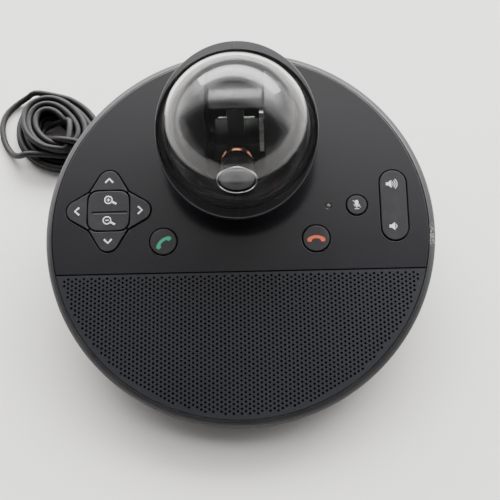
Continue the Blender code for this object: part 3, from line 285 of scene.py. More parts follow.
loop_route = [Vector(point) for point in (
    (-0.1475, 0.1355, 0.0085), (-0.1555, 0.1342, 0.0045), (-0.1642, 0.1286, TABLE_LINE),
    (-0.1696, 0.121, TABLE_LINE), (-0.1714, 0.112, TABLE_LINE), (-0.170, 0.1025, TABLE_LINE),
    (-0.1665, 0.0936, TABLE_LINE), (-0.161, 0.086, 0.004), (-0.1548, 0.0815, 0.0085),
    (-0.1470, 0.0805, 0.0125),
)]
inner_strand = [Vector(point) for point in (
    (-0.1195, 0.1035, 0.0170), (-0.1285, 0.1075, 0.0105), (-0.1360, 0.1070, 0.0070),
    (-0.1402, 0.1045, 0.0060), (-0.1408, 0.1005, 0.0062), (-0.1372, 0.0955, 0.0090),
    (-0.1310, 0.0905, 0.0150), (-0.1230, 0.0865, 0.0205), (-0.1130, 0.0845, 0.0200),
    (-0.1040, 0.0850, 0.0130), (-0.0995, 0.0868, 0.0065), (-0.0966, 0.0880, 0.0045),
)]
lower_turns = wound((0, 0, 0), (4, 4, 0), (4.2, 4, 1), (8, 0, 1), (8.15, 0, 1.2))
upper_turns = wound((8.62, 1.8, 2.2), (8.9, 2.1, 2), (10.9, 4, 2), (11.1, 4, 3), (13.3, 1.6, 3),
                    (13.75, 2.6, 3.5))
cable_route = lead_route + lower_turns + loop_route + upper_turns + inner_strand


def smooth_line(points, spacing):
    """Points every so far along a Catmull-Rom curve through the route."""
    line = []
    padded = [2 * points[0] - points[1]] + points + [2 * points[-1] - points[-2]]
    for a, b, c, d in zip(padded, padded[1:], padded[2:], padded[3:]):
        for step in range(8):
            t = step / 8
            line.append(0.5 * (2 * b + (c - a) * t + (2 * a - 5 * b + 4 * c - d) * t ** 2
                               + (3 * b - a - 3 * c + d) * t ** 3))
    line.append(points[-1])
    even, gone = [line[0]], 0.0
    for a, b in zip(line, line[1:]):
        gone += (b - a).length
        if gone >= spacing:
            even.append(b)
            gone = 0.0
    even[-1] = line[-1]
    return even


def round_line(name, radius, resolution):
    """Data of a curve with a round section, and with closed ends."""
    data = bpy.data.curves.new(name, "CURVE")
    data.dimensions = "3D"
    data.bevel_depth = radius
    data.bevel_resolution = resolution
    data.use_fill_caps = True
    return data


def add_points(data, points, closed=False):
    """Run a curve's data through a row of points, joined up where it is closed."""
    spline = data.splines.new("POLY")
    spline.points.add(len(points) - 1)
    for spot, point in zip(spline.points, points):
        spot.co = (*Vector(point).to_3d(), 1.0)
    spline.use_cyclic_u = closed


cable_data = round_line("usb_lead", CABLE, 4)
add_points(cable_data, smooth_line(cable_route, 0.0030))
usb_lead = added("usb_lead", cable_data)
vinyl = Finish("cable_vinyl", (0.012, 0.012, 0.013), 0.48, Specular_IOR_Level=0.3)
grime = vinyl.noise(90.0, 4.0)
vinyl.put(Roughness=grime * 0.20 + 0.42,
          Base_Color=vinyl.mix(grime.above(0.45, 0.3), (0.010, 0.0095, 0.0105),
                               (0.020, 0.019, 0.020)))
vinyl.bump(vinyl.noise(1400.0, 2.0), 0.00006, 0.5)
vinyl.paint(usb_lead)


def settle(obj, place):
    """Put a piece made about the origin in its place, and leave the object itself at zero."""
    obj.matrix_world = place
    select_only(obj)
    bpy.ops.object.transform_apply(location=True, rotation=True, scale=True)


def box(name, size, place):
    """A block of a size about a place."""
    bpy.ops.object.select_all(action="DESELECT")
    bpy.ops.mesh.primitive_cube_add(size=1.0)
    block = bpy.context.object
    block.name = name
    settle(block, place @ Matrix.Diagonal((*size, 1.0)))
    return block


def apply_all(obj):
    select_only(obj)
    for modifier in list(obj.modifiers):
        bpy.ops.object.modifier_apply(modifier=modifier.name)


def round_edges(obj, width, segments=2, limit=30.0, smooth=35.0):
    """Round the edges that are sharper than the limit and shade the piece smooth."""
    bevel = obj.modifiers.new("round", "BEVEL")
    bevel.width = width
    bevel.segments = segments
    bevel.limit_method = "ANGLE"
    bevel.angle_limit = radians(limit)
    bevel.use_clamp_overlap = True
    apply_all(obj)
    bpy.ops.object.shade_smooth_by_angle(angle=radians(smooth))


def mesh_piece(name, points, edges, faces):
    mesh = bpy.data.meshes.new(name)
    mesh.from_pydata(points, edges, faces)
    return added(name, mesh)


MERGE = 1e-7


def open_mesh(obj):
    """Edit mode on one piece, with all of it selected."""
    select_only(obj)
    bpy.ops.object.mode_set(mode="EDIT")
    bpy.ops.mesh.select_all(action="SELECT")


def close_mesh():
    """Turn all faces outwards and leave edit mode."""
    bpy.ops.mesh.select_all(action="SELECT")
    bpy.ops.mesh.normals_make_consistent(inside=False)
    bpy.ops.object.mode_set(mode="OBJECT")


def open_faces(obj, direction):
    """Edit mode on one piece, with the faces that look in a direction selected."""
    open_mesh(obj)
    bpy.ops.mesh.select_mode(type="FACE")
    bpy.ops.mesh.select_all(action="DESELECT")
    bpy.ops.object.mode_set(mode="OBJECT")
    for face in obj.data.polygons:
        face.select = face.normal.dot(Vector(direction)) > 0.9
    bpy.ops.object.mode_set(mode="EDIT")


def spun(name, profile, place, steps=96, width=0.0003, segments=2):
    """Spin a closed (radius, height) outline about its axis, and round the edges it turns."""
    solid = min(radius for radius, _ in profile) == 0
    count = len(profile)
    edges = [(i, (i + 1) % count) for i in range(count - solid)]
    obj = mesh_piece(name, [(radius, 0.0, z) for radius, z in profile], edges, [])
    open_mesh(obj)
    bpy.ops.mesh.spin(steps=steps, angle=2 * pi, center=(0, 0, 0), axis=(0, 0, 1))
    bpy.ops.mesh.select_all(action="SELECT")
    bpy.ops.mesh.remove_doubles(threshold=MERGE)
    close_mesh()
    if width:
        round_edges(obj, width, segments)
    else:
        bpy.ops.object.shade_smooth_by_angle(angle=radians(35))
    settle(obj, place)
    return obj


TO_THE_REAR = Matrix.Rotation(-pi / 2, 4, "X")
relief_place = Matrix.Translation(cable_exit) @ TO_THE_REAR
relief_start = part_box("cable_gland")[0].y - cable_exit.y
RIBS, RIBBED_LENGTH, RELIEF_RADIUS, RELIEF_TAPER, STEM_RADIUS = 7, 0.0165, 0.0044, 0.0013, 0.0042
relief_profile = [(0, relief_start), (STEM_RADIUS, relief_start), (STEM_RADIUS, -0.0170)]
for rib in range(RIBS):
    start = -RIBBED_LENGTH * (1 - rib / RIBS)
    radius = RELIEF_RADIUS - RELIEF_TAPER * (rib + 0.5) / RIBS
    relief_profile += [(radius, start), (radius, start + 0.0014),
                       (radius - 0.0007, start + 0.0016), (radius - 0.0007, start + 0.0021)]
relief_profile += [(CABLE + 0.0005, 0), (0, 0)]
strain_relief = spun("strain_relief", relief_profile, relief_place, 40, 0.00015)
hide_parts("cable_gland")
soft_black = Finish("soft_moulding", (0.020, 0.019, 0.021), 0.58)
soft_black.bump(soft_black.noise(2200.0, 2.0), 0.00005, 0.6)
soft_black.paint(strain_relief)

plug_place = Matrix.Translation((-0.0964, 0.088, 0.0045)) @ Matrix.Rotation(radians(5), 4, "Z")
plug_grip = box("usb_plug_grip", (0.024, 0.016, 0.0082), Matrix.Translation((0.021, 0, 0)))
for side in (-1, 1):
    open_faces(plug_grip, (0, 0, side))
    bpy.ops.mesh.inset(thickness=0.0022)
    bpy.ops.mesh.inset(thickness=0.0006, depth=-0.0004)
    bpy.ops.object.mode_set(mode="OBJECT")
round_edges(plug_grip, 0.0009, 3, 60)
settle(plug_grip, plug_place)
sleeve_profile = [(0, 0), (CABLE + 0.0005, 0)]
for rib in range(4):
    start = 0.001 + 0.002 * rib
    radius = CABLE + 0.0007 + 0.0002 * rib
    sleeve_profile += [(radius, start), (radius, start + 0.0012), (radius - 0.0006, start + 0.0013),
                       (radius - 0.0006, start + 0.0018)]
sleeve_profile += [(CABLE + 0.0014, 0.0095), (0, 0.0095)]
plug_sleeve = spun("usb_plug_sleeve", sleeve_profile, plug_place @ Matrix.Rotation(pi / 2, 4, "Y"),
                   32, 0.0001)
plug_shell = box("usb_plug_shell", (0.0125, 0.012, 0.0045), Matrix.Translation((0.0387, 0, 0)))
open_faces(plug_shell, (1, 0, 0))
bpy.ops.mesh.inset(thickness=0.0004)
bpy.ops.mesh.extrude_region_move(TRANSFORM_OT_translate={"value": (-0.009, 0.0, 0.0)})
bpy.ops.object.mode_set(mode="OBJECT")
round_edges(plug_shell, 0.0003, 2, 60)
settle(plug_shell, plug_place)
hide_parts("usb_plug")
soft_black.paint(plug_grip, plug_sleeve)
nickel = Finish("nickel", (0.62, 0.61, 0.60), 0.28, Metallic=1.0)
nickel.put(Roughness=nickel.noise(260.0, 4.0) * 0.2 + 0.2)
nickel.paint(plug_shell)
for piece in (usb_lead, strain_relief, plug_grip, plug_sleeve, plug_shell):
    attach(piece, "base")
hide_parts("usb_cable", "cable_coil", "cable_loop")


# ---------------------------------------------------------------- tub
# The lower housing is one black ABS moulding with a fine spark texture: a flat foot, a wall that
# flares out under the tilted disc, and a straight lip that the trim ring sits on. Round holes at
# the rear take the cable and the two jacks, and three screw wells open underneath.

press_axis = Vector(joints["call_key_press"]["axis"])
tilt = atan2(press_axis.y, -press_axis.z)
PAD = Vector((-0.081, 0.0134, 0.0))
ROCK_DEPTH = 0.0012
DISC = Matrix.Translation(joints["zoom_rock"]["pos_m"]) @ Matrix.Rotation(tilt, 4, "X")
DISC = DISC @ Matrix.Translation(-PAD + Vector((0, 0, ROCK_DEPTH)))
RIM_DEPTH = 0.0090
TUB_SEGMENTS = 144


def under_face(node):
    """The middle of the lower face of a node's box."""
    low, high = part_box(node)
    return Vector(((low.x + high.x) / 2, (low.y + high.y) / 2, low.z))


def ring_of(radius, z, place):
    turns = [2 * pi * i / TUB_SEGMENTS for i in range(TUB_SEGMENTS)]
    return [place @ Vector((radius * cos(turn), radius * sin(turn), z)) for turn in turns]


def lofted(name, rings, closed=False):
    """Skin a row of rings of points; the ends are filled, or joined when the row is closed."""
    count = len(rings[0])
    faces = []
    for row in range(len(rings) - 1 + closed):
        low, high = row * count, (row + 1) % len(rings) * count
        faces += [(low + i, low + (i + 1) % count, high + (i + 1) % count, high + i)
                  for i in range(count)]
    obj = mesh_piece(name, [point for ring in rings for point in ring], [], faces)
    open_mesh(obj)
    bpy.ops.mesh.remove_doubles(threshold=MERGE)
    if not closed:
        bpy.ops.mesh.select_mode(type="VERT")
        bpy.ops.mesh.select_all(action="DESELECT")
        bpy.ops.mesh.select_non_manifold()
        bpy.ops.mesh.edge_face_add()
    close_mesh()
    return obj


def cut_with(obj, tools):
    """Cut the tools out of a piece and throw them away."""
    for tool in tools:
        cut = obj.modifiers.new("cut", "BOOLEAN")
        cut.object = tool
        cut.solver = "EXACT"
        apply_all(obj)
        bpy.data.objects.remove(tool, do_unlink=True)


LIP_RADIUS, LIP_HEIGHT, LIP_TOP = 0.1186, 0.0037, -RIM_DEPTH - 0.0003
FOOT_RADIUS, FOOT_LEVEL, FOOT_ROUND = 0.086, 0.002, 0.002
WALL, BULGE = 0.0024, 0.006
foot_place = Matrix.Translation((0, under_face("ballast_plate").y, 0))


def tub_ring(share, inset, foot_level):
    """A ring of the wall between the lip, share 0, and the foot, share 1."""
    lip = ring_of(LIP_RADIUS - inset, LIP_TOP - LIP_HEIGHT, DISC)
    foot = ring_of(FOOT_RADIUS - inset, foot_level, foot_place)
    swell = BULGE * 4 * share * (1 - share)
    ring = []
    for i, (high, low) in enumerate(zip(lip, foot)):
        angle = 2 * pi * i / TUB_SEGMENTS
        ring.append(high.lerp(low, share) + Vector((cos(angle), sin(angle), 0)) * swell)
    return ring


tub_rings = [ring_of(FOOT_RADIUS - FOOT_ROUND, FOOT_LEVEL, foot_place)]
tub_rings += [tub_ring(1 - step / 10, 0.0, FOOT_LEVEL + FOOT_ROUND) for step in range(11)]
tub_rings.append(ring_of(LIP_RADIUS, LIP_TOP, DISC))
tub_rings.append(ring_of(LIP_RADIUS - WALL, LIP_TOP, DISC))
tub_rings += [tub_ring(step / 5, WALL, FOOT_LEVEL + 0.004) for step in range(6)]
tub = lofted("tub", tub_rings)
JACK_HOLE, JACK_RECESS, CABLE_HOLE, WELL_RADIUS, SCREW_HOLE = 0.0053, 0.0085, 0.0045, 0.0035, 0.0019
hole_tools = []
for node in ("power_jack", "headset_jack"):
    hole_tools.append(spun("hole", [(0, -0.012), (JACK_HOLE, -0.012), (JACK_HOLE, 0.0006),
                                    (JACK_RECESS, 0.0200), (0, 0.0200)],
                           Matrix.Translation(rear_face(node)) @ TO_THE_REAR, 32, 0))
hole_tools.append(spun("hole", [(0, -0.024), (CABLE_HOLE, -0.024), (CABLE_HOLE, 0.004), (0, 0.004)],
                       relief_place @ Matrix.Translation((0, 0, -0.018)), 32, 0))
for number in (1, 2, 3):
    well = Matrix.Translation(under_face(f"base_screw_{number}").xy.to_3d())
    hole_tools.append(spun("hole", [(0, 0), (WELL_RADIUS, 0), (WELL_RADIUS, 0.004),
                                    (SCREW_HOLE, 0.004), (SCREW_HOLE, 0.008), (0, 0.008)],
                           well, 24, 0))
cut_with(tub, hole_tools)
bpy.ops.object.shade_smooth_by_angle(angle=radians(25))
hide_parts("base_shell")
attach(tub, "base")
spark_black = Finish("spark_black", (0.014, 0.014, 0.015), 0.48)
dust = spark_black.noise(60.0, 6.0)
spark_black.put(Roughness=dust * 0.16 + 0.42,
                Base_Color=spark_black.mix(dust.above(0.52, 0.25), (0.013, 0.013, 0.014),
                                           (0.026, 0.026, 0.027)))
spark_black.bump(spark_black.noise(1800.0, 3.0), 0.00010, 0.7)
spark_black.paint(tub)


# ---------------------------------------------------------------- feet and base screws
# Three moulded rubber pads are glued into the foot and lift it two millimetres off the table.
# Three zinc-plated screws with crossed recesses hold the tub to the frame inside.

pad_rubber = Finish("pad_rubber", (0.016, 0.016, 0.016), 0.8)
pad_rubber.bump(pad_rubber.noise(900.0, 4.0), 0.00012, 0.8)
zinc = Finish("zinc", (0.55, 0.55, 0.53), 0.35, Metallic=1.0)
zinc.put(Roughness=zinc.noise(700.0, 3.0) * 0.3 + 0.22)
SCREW_HEAD, SCREW_SHANK, SCREW_LENGTH = 0.0030, 0.0015, 0.0140
for number in (1, 2, 3):
    low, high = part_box(f"rubber_foot_{number}")
    radius = (high.x - low.x) / 2
    thick = high.z
    pad = spun(f"foot_pad_{number}", [
        (0, 0), (radius - 0.0044, 0), (radius - 0.0042, 0.0003), (radius - 0.0032, 0.0003),
        (radius - 0.0030, 0), (radius - 0.0005, 0), (radius, 0.0006), (radius, thick), (0, thick),
    ], Matrix.Translation(((low + high) / 2).xy.to_3d()), 48, 0.0001)
    pad_rubber.paint(pad)
    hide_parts(f"rubber_foot_{number}")
    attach(pad, "base")
    screw_place = Matrix.Translation(under_face(f"base_screw_{number}"))
    screw = spun(f"tub_screw_{number}", [
        (0, 0), (SCREW_HEAD - 0.0006, 0), (SCREW_HEAD, 0.0006), (SCREW_HEAD, 0.0015),
        (SCREW_SHANK, 0.0015), (SCREW_SHANK, SCREW_LENGTH), (0, SCREW_LENGTH),
    ], screw_place, 32, 0.0001)
    cut_with(screw, [box("recess", (0.0030, 0.0007, 0.0020),
                         screw_place @ Matrix.Rotation(turn, 4, "Z")) for turn in (0, pi / 2)])
    zinc.paint(screw)
    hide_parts(f"base_screw_{number}")
    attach(screw, "base")


# ---------------------------------------------------------------- jacks
# Two moulded sockets on the rear of the main board look out through the tub: the power inlet
# with its centre pin, and the 3.5 mm headset socket with a sprung contact ring inside.

for node, hole, pin in (("power_jack", 0.0029, 0.0010), ("headset_jack", 0.0018, 0.0)):
    jack_place = Matrix.Translation(rear_face(node)) @ TO_THE_REAR
    outline = [(0, -0.0106), (0.005, -0.0106), (0.005, 0.0), (hole + 0.0004, 0.0),
               (hole, -0.0004), (hole, -0.0090)]
    outline += [(pin, -0.0090), (pin, -0.0014), (0, -0.0010)] if pin else [(0, -0.0090)]
    jack = spun(node + "_body", outline, jack_place, 48, 0.0001)
    spark_black.paint(jack)
    contact = spun(node + "_contact", [
        (hole - 0.0001, -0.0030), (hole - 0.0001, -0.0008), (hole - 0.0004, -0.0008),
        (hole - 0.0004, -0.0030),
    ], jack_place, 40, 0)
    nickel.paint(contact)
    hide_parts(node)
    for piece, slot in ((jack, "housing_black"), (contact, "steel")):
        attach(piece, "base")


# ---------------------------------------------------------------- trim ring
# A moulded ring in dark satin paint sits on the tub's lip. Its wide chamfer frames the top face,
# its inner ledge carries the two panels, and handling has worn its outer edge a little.

RIM, RIM_INNER, RIM_BORE, LEDGE_DEPTH = 0.1200, 0.1161, 0.1126, 0.0025
trim_ring = spun("trim_ring", [
    (RIM_INNER, 0.0), (RIM - 0.0003, -0.0024), (RIM, -0.0030), (RIM, -RIM_DEPTH + 0.0004),
    (RIM - 0.0004, -RIM_DEPTH), (RIM_BORE, -RIM_DEPTH), (RIM_BORE, -LEDGE_DEPTH),
    (RIM_INNER, -LEDGE_DEPTH),
], DISC, 192, 0.00025, 3)
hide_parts("rim_ring")
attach(trim_ring, "base")
satin = Finish("satin_trim", (0.030, 0.031, 0.033), 0.34, Specular_IOR_Level=0.4)
handling = satin.noise(45.0, 6.0)
specks = satin.cells(420.0).above(0.055, 0.02)
scuff_spot = DISC @ Vector((0.1184, -0.0060, 0.0))
scuff = 1 - satin.away_from(scuff_spot).above(0.0020, 0.0060)
scuff = scuff * satin.noise(900.0, 5.0).above(0.52, 0.08)
satin.put(Roughness=handling * 0.22 + 0.26)
worn = satin.mix(handling.above(0.5, 0.3), (0.026, 0.0265, 0.029), (0.040, 0.041, 0.043))
worn = satin.mix(specks, (0.16, 0.16, 0.16), worn)
satin.put(Base_Color=satin.mix(scuff, worn, (0.42, 0.41, 0.39)))
satin.bump(satin.noise(1500.0, 3.0), 0.00004, 0.5)
satin.paint(trim_ring)


# ---------------------------------------------------------------- deck panel
# The key deck is a thin moulded plate with a polished black face, cut to a straight front edge.
# Its openings leave a narrow shadow line round each key, and its edges are softly rounded.

def arc(centre, radius, start, end, steps):
    """Points along an arc, angles in degrees."""
    turns = [radians(start + (end - start) * i / steps) for i in range(steps + 1)]
    return [(centre[0] + radius * cos(turn), centre[1] + radius * sin(turn)) for turn in turns]


def disc_segment(radius, level, side):
    """The part of a disc beyond a straight line, on its far side or on its near side."""
    start = degrees(atan2(level, sqrt(radius * radius - level * level)))
    return arc((0, 0), radius, start, (180 if side > 0 else -180) - start, 150)


def slab(name, outlines, low, high, edge, place):
    """A flat plate between two heights: the first outline is its edge, the others are holes."""
    data = bpy.data.curves.new(name, "CURVE")
    data.dimensions = "2D"
    data.fill_mode = "BOTH"
    data.extrude = (high - low) / 2 - edge
    data.bevel_depth = edge
    data.bevel_resolution = 1
    data.offset = -edge
    for outline in outlines:
        add_points(data, outline, closed=True)
    select_only(added(name, data))
    bpy.ops.object.convert(target="MESH")
    obj = bpy.context.object
    open_mesh(obj)
    bpy.ops.mesh.remove_doubles(threshold=MERGE)
    close_mesh()
    bpy.ops.object.shade_smooth_by_angle(angle=radians(15))
    settle(obj, place @ Matrix.Translation((0, 0, (low + high) / 2)))
    return obj


PANEL_RADIUS = RIM_INNER - 0.0005
SPLIT = -0.0270
SHADOW_LINE = 0.0008
pan_axis = Vector(joints["head_pan"]["pos_m"])
NECK_RADIUS = 0.0260
neck_on_disc = DISC.inverted() @ pan_axis
axis_y = neck_on_disc.y + neck_on_disc.z * tan(tilt)
ROUND_KEYS = {"call_key": (-0.0468, -0.0072, 0.0081), "hangup_key": (0.0468, -0.0072, 0.0081),
              "mute_key": (0.0724, 0.0135, 0.0061)}
PAD_REACH, PAD_TIP, PAD_CORNER, PAD_GAP = 0.0260, 0.0066, 0.0120, 0.0006
VOLUME = (0.0952, 0.0130)
VOLUME_RADIUS, VOLUME_LENGTH = 0.0080, 0.0446
LAMP, LAMP_HOLE = (0.0549, 0.0135), 0.0018


def pill(centre, radius, length):
    reach = length / 2 - radius
    return (arc((centre[0], centre[1] + reach), radius, 0, 180, 24)
            + arc((centre[0], centre[1] - reach), radius, 180, 360, 24))


def petal_side(grow):
    """Half of an arrow key's outer edge, from its tip to the corner that two keys share."""
    tip, corner = PAD_TIP + grow, PAD_CORNER + grow
    centre = PAD_REACH - PAD_TIP
    reach = sqrt(corner * corner + (corner - centre) ** 2)
    touch = degrees(atan2(corner - centre, corner) + acos(tip / reach))
    return arc((0, centre), tip, 90, touch, 12) + [(corner, corner)]


def pad_opening(grow):
    side = petal_side(grow)
    lobe = [(-x, y) for x, y in side[:0:-1]] + side
    outline = []
    for quarter in range(4):
        turn = radians(-90 * quarter)
        outline += [(PAD.x + x * cos(turn) - y * sin(turn), PAD.y + x * sin(turn) + y * cos(turn))
                    for x, y in lobe[:-1]]
    return outline


NECK_GAP = 0.0012
neck_opening = [(x, axis_y + y / cos(tilt))
                for x, y in arc((0, 0), NECK_RADIUS + NECK_GAP, 0, 360, 96)[:-1]]
deck_holes = [neck_opening, pad_opening(SHADOW_LINE),
              pill(VOLUME, VOLUME_RADIUS + SHADOW_LINE, VOLUME_LENGTH + 2 * SHADOW_LINE),
              arc(LAMP, LAMP_HOLE, 0, 360, 24)[:-1]]
deck_holes += [arc((x, y), radius + SHADOW_LINE, 0, 360, 64)[:-1]
               for x, y, radius in ROUND_KEYS.values()]
deck = slab("deck", [disc_segment(PANEL_RADIUS, SPLIT + 0.0003, 1)] + deck_holes, -0.0022, 0.0,
            0.0003, DISC)
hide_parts("deck_panel")
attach(deck, "base")
piano = Finish("deck_black", (0.012, 0.0115, 0.014), 0.20)
smears = piano.noise(28.0, 5.0, Distortion=0.6)
lint = piano.cells(260.0).above(0.035, 0.012)
piano.put(Roughness=smears * 0.12 + 0.16)
piano.put(Base_Color=piano.mix(lint, (0.05, 0.05, 0.05), (0.012, 0.0115, 0.014)))
piano.bump(piano.noise(120.0, 2.0), 0.00003, 0.25)
piano.paint(deck)


# ---------------------------------------------------------------- speaker grille
# A flat sheet steel grille, punched with round holes in offset columns and coated black. Thin
# acoustic cloth is glued behind it, and the microphone and the loudspeaker sit under the cloth.

HOLE_RADIUS, FIRST_ROW = 0.00078, SPLIT - 0.0026
PITCH_ALONG, PITCH_ACROSS = 0.002746, 0.002378
GRILLE_EDGE = PANEL_RADIUS - 0.0028
columns = round(GRILLE_EDGE / PITCH_ACROSS)
punched = []
for column in range(-columns, columns + 1):
    x = column * PITCH_ACROSS
    y = FIRST_ROW - 0.5 * (column % 2) * PITCH_ALONG
    while x * x + y * y <= GRILLE_EDGE * GRILLE_EDGE:
        punched.append(arc((x, y), HOLE_RADIUS, 0, 360, 8)[:-1])
        y -= PITCH_ALONG
grille_outline = disc_segment(PANEL_RADIUS, SPLIT - 0.0003, -1)
grille = slab("grille_sheet", [grille_outline] + punched, -0.0012, 0.0, 0.0, DISC)
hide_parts("speaker_grille")
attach(grille, "base")
coated = Finish("coated_steel", (0.012, 0.013, 0.017), 0.42, Specular_IOR_Level=0.35)
fluff = coated.cells(330.0).above(0.05, 0.015)
tone = coated.noise(9.0, 3.0)
coated.put(Roughness=tone * 0.2 + 0.34)
sheet_black = coated.mix(tone, (0.010, 0.0105, 0.014), (0.017, 0.018, 0.023))
coated.put(Base_Color=coated.mix(fluff, (0.09, 0.09, 0.095), sheet_black))
coated.bump(coated.noise(2600.0, 2.0), 0.00005, 0.6)
coated.paint(grille)
cloth = Finish("acoustic_cloth", (0.004, 0.004, 0.0045), 0.95)
weave = cloth.waves(900.0, "X") * cloth.waves(900.0, "Y")
cloth.bump(weave, 0.0001, 0.8)
cloth.put(Base_Color=cloth.mix(weave, (0.003, 0.003, 0.0035), (0.008, 0.008, 0.009)))
cloth.paint(frame["nodes"]["grille_cloth"])


# ---------------------------------------------------------------- keys
# Matt black keys moulded in hard plastic: three round ones, four arrow keys round the zoom
# rocker, and the long volume rocker. They stand 0.7 mm proud of the deck.

KEY_TOP, KEY_LOW, ROCKER_LOW = 0.0007, -0.0034, -0.0024
ZOOM_HALF, ZOOM_CORNER, ZOOM_SWELL = 0.0127, 0.0060, 0.0003


def key_cap(name, outline, low, edge, place):
    """A flat-topped cap: its outline is filled, pulled up and rounded at its edges."""
    count = len(outline)
    cap = mesh_piece(name, [(x, y, low) for x, y in outline],
                     [(i, (i + 1) % count) for i in range(count)], [])
    open_mesh(cap)
    bpy.ops.mesh.edge_face_add()
    bpy.ops.mesh.extrude_region_move(TRANSFORM_OT_translate={"value": (0, 0, KEY_TOP - low)})
    close_mesh()
    bevel = cap.modifiers.new("round", "BEVEL")
    bevel.width = edge
    bevel.segments = 4
    bevel.limit_method = "ANGLE"
    bevel.angle_limit = radians(55)
    bevel.harden_normals = True
    bpy.ops.object.shade_smooth()
    apply_all(cap)
    settle(cap, place)
    return cap


def zoom_outline():
    """A rounded square whose sides swell a little."""
    reach = ZOOM_HALF - ZOOM_CORNER
    quadrant = [(ZOOM_HALF + ZOOM_SWELL, 0.0)] + arc((reach, reach), ZOOM_CORNER, 0, 90, 10)
    outline = []
    for turn in (0, pi / 2, pi, 3 * pi / 2):
        outline += [(x * cos(turn) - y * sin(turn), x * sin(turn) + y * cos(turn))
                    for x, y in quadrant]
    return outline


def arrow_outline():
    """An arrow key: its inner edge follows the zoom rocker at the gap's width."""
    side = petal_side(0)
    corner = ZOOM_CORNER + PAD_GAP
    reach = ZOOM_HALF + 0.0002 + PAD_GAP - corner
    shift = PAD_GAP / sqrt(2)
    inner = [p for p in arc((reach, reach), corner, 90, 45, 8) if p[1] - p[0] > shift]
    right = [p for p in side if p[1] - abs(p[0]) > shift]
    last, end = side[-2], side[-1]
    slope_last, slope_end = last[1] - last[0], end[1] - end[0]
    share = (slope_last - shift) / (slope_last - slope_end)
    right.append((last[0] + (end[0] - last[0]) * share, last[1] + (end[1] - last[1]) * share))
    half = right + inner[::-1]
    return half + [(-x, y) for x, y in reversed(half) if x > 1e-5]


key_black = Finish("key_black", (0.020, 0.020, 0.022), 0.52, Specular_IOR_Level=0.35)
touched = key_black.noise(140.0, 5.0)
key_black.put(Roughness=touched * 0.18 + 0.44,
              Base_Color=key_black.mix(touched.above(0.5, 0.2), (0.017, 0.0165, 0.0195),
                                       (0.025, 0.0245, 0.028)))
key_black.bump(key_black.noise(2400.0, 2.0), 0.00005, 0.5)
keys = {}
for name, (x, y, radius) in ROUND_KEYS.items():
    keys[name] = key_cap(name + "_cap", arc((0, 0), radius, 0, 360, 72)[:-1], KEY_LOW, 0.0005,
                         DISC @ Matrix.Translation((x, y, 0)))
arrow_places = {side: DISC @ Matrix.Translation(PAD) @ Matrix.Rotation(pi / 2 * quarter, 4, "Z")
                for quarter, side in enumerate(("up", "left", "down", "right"))}
for side, place in arrow_places.items():
    keys[f"key_{side}"] = key_cap(f"arrow_{side}_cap", arrow_outline(), KEY_LOW, 0.0004, place)
zoom_cap = key_cap("zoom_cap", zoom_outline(), ROCKER_LOW, 0.0005, DISC @ Matrix.Translation(PAD))
groove = spun("groove", [(0, -0.0112), (0.0011, -0.0108), (0.0011, 0.0108), (0, 0.0112)],
              DISC @ Matrix.Translation(PAD + Vector((0.0006, -0.0012, KEY_TOP + 0.0006)))
              @ Matrix.Rotation(pi / 2, 4, "Y"), 24, 0)
cut_with(zoom_cap, [groove])
bpy.ops.object.shade_smooth_by_angle(angle=radians(30))
keys["zoom_rocker"] = zoom_cap
keys["volume_rocker"] = key_cap("volume_cap", pill((0, 0), VOLUME_RADIUS, VOLUME_LENGTH),
                                ROCKER_LOW, 0.0005, DISC @ Matrix.Translation((*VOLUME, 0)))
for node, cap in keys.items():
    key_black.paint(cap)
    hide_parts(node)
    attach(cap, node)


# ---------------------------------------------------------------- printed symbols
# Plain pictograms are pad-printed on the keys in opaque ink: arrows, magnifiers, two handsets, a
# crossed microphone and two loudspeakers. The ink stands a few hundredths of a millimetre proud.

INK_TOP = KEY_TOP + 0.00001


def ink_lines(name, strokes, width, place, closed=False):
    """Strokes of one width, each a row of points, laid flat on a key."""
    data = round_line(name, width / 2, 2)
    for stroke in strokes:
        add_points(data, stroke, closed)
    select_only(added(name, data))
    bpy.ops.object.convert(target="MESH")
    mark = bpy.context.object
    flat = Matrix.Diagonal((1.0, 1.0, 0.00005 / width, 1.0))
    settle(mark, place @ Matrix.Translation((0, 0, INK_TOP)) @ flat)
    return mark


def ink_shape(name, outlines, place):
    """A filled shape laid flat on a key."""
    return slab(name, outlines, INK_TOP - 0.00003, INK_TOP + 0.00003, 0.0, place)


white_ink = Finish("white_ink", (0.80, 0.81, 0.80), 0.5)
white_ink.put(Base_Color=white_ink.mix(white_ink.noise(1500.0, 4.0), (0.72, 0.73, 0.72),
                                       (0.88, 0.89, 0.88)))
green_ink = Finish("green_ink", (0.01, 0.30, 0.14), 0.45)
green_ink.put(Base_Color=green_ink.mix(green_ink.noise(900.0, 4.0), (0.01, 0.27, 0.12),
                                       (0.03, 0.42, 0.22)))
red_ink = Finish("red_ink", (0.62, 0.09, 0.025), 0.45)
red_ink.put(Base_Color=red_ink.mix(red_ink.noise(900.0, 4.0), (0.55, 0.07, 0.02),
                                   (0.80, 0.16, 0.06)))
marks = []
chevron = [[(-0.0024, -0.0013), (0.0, 0.0013), (0.0024, -0.0013)]]
for side, place in arrow_places.items():
    marks.append((ink_lines(f"arrow_{side}_print", chevron, 0.0011,
                            place @ Matrix.Translation((0.0, 0.0196, 0.0))),
                  f"key_{side}", white_ink))
plus = [[(-0.0011, 0.0), (0.0011, 0.0)], [(0.0, -0.0011), (0.0, 0.0011)]]
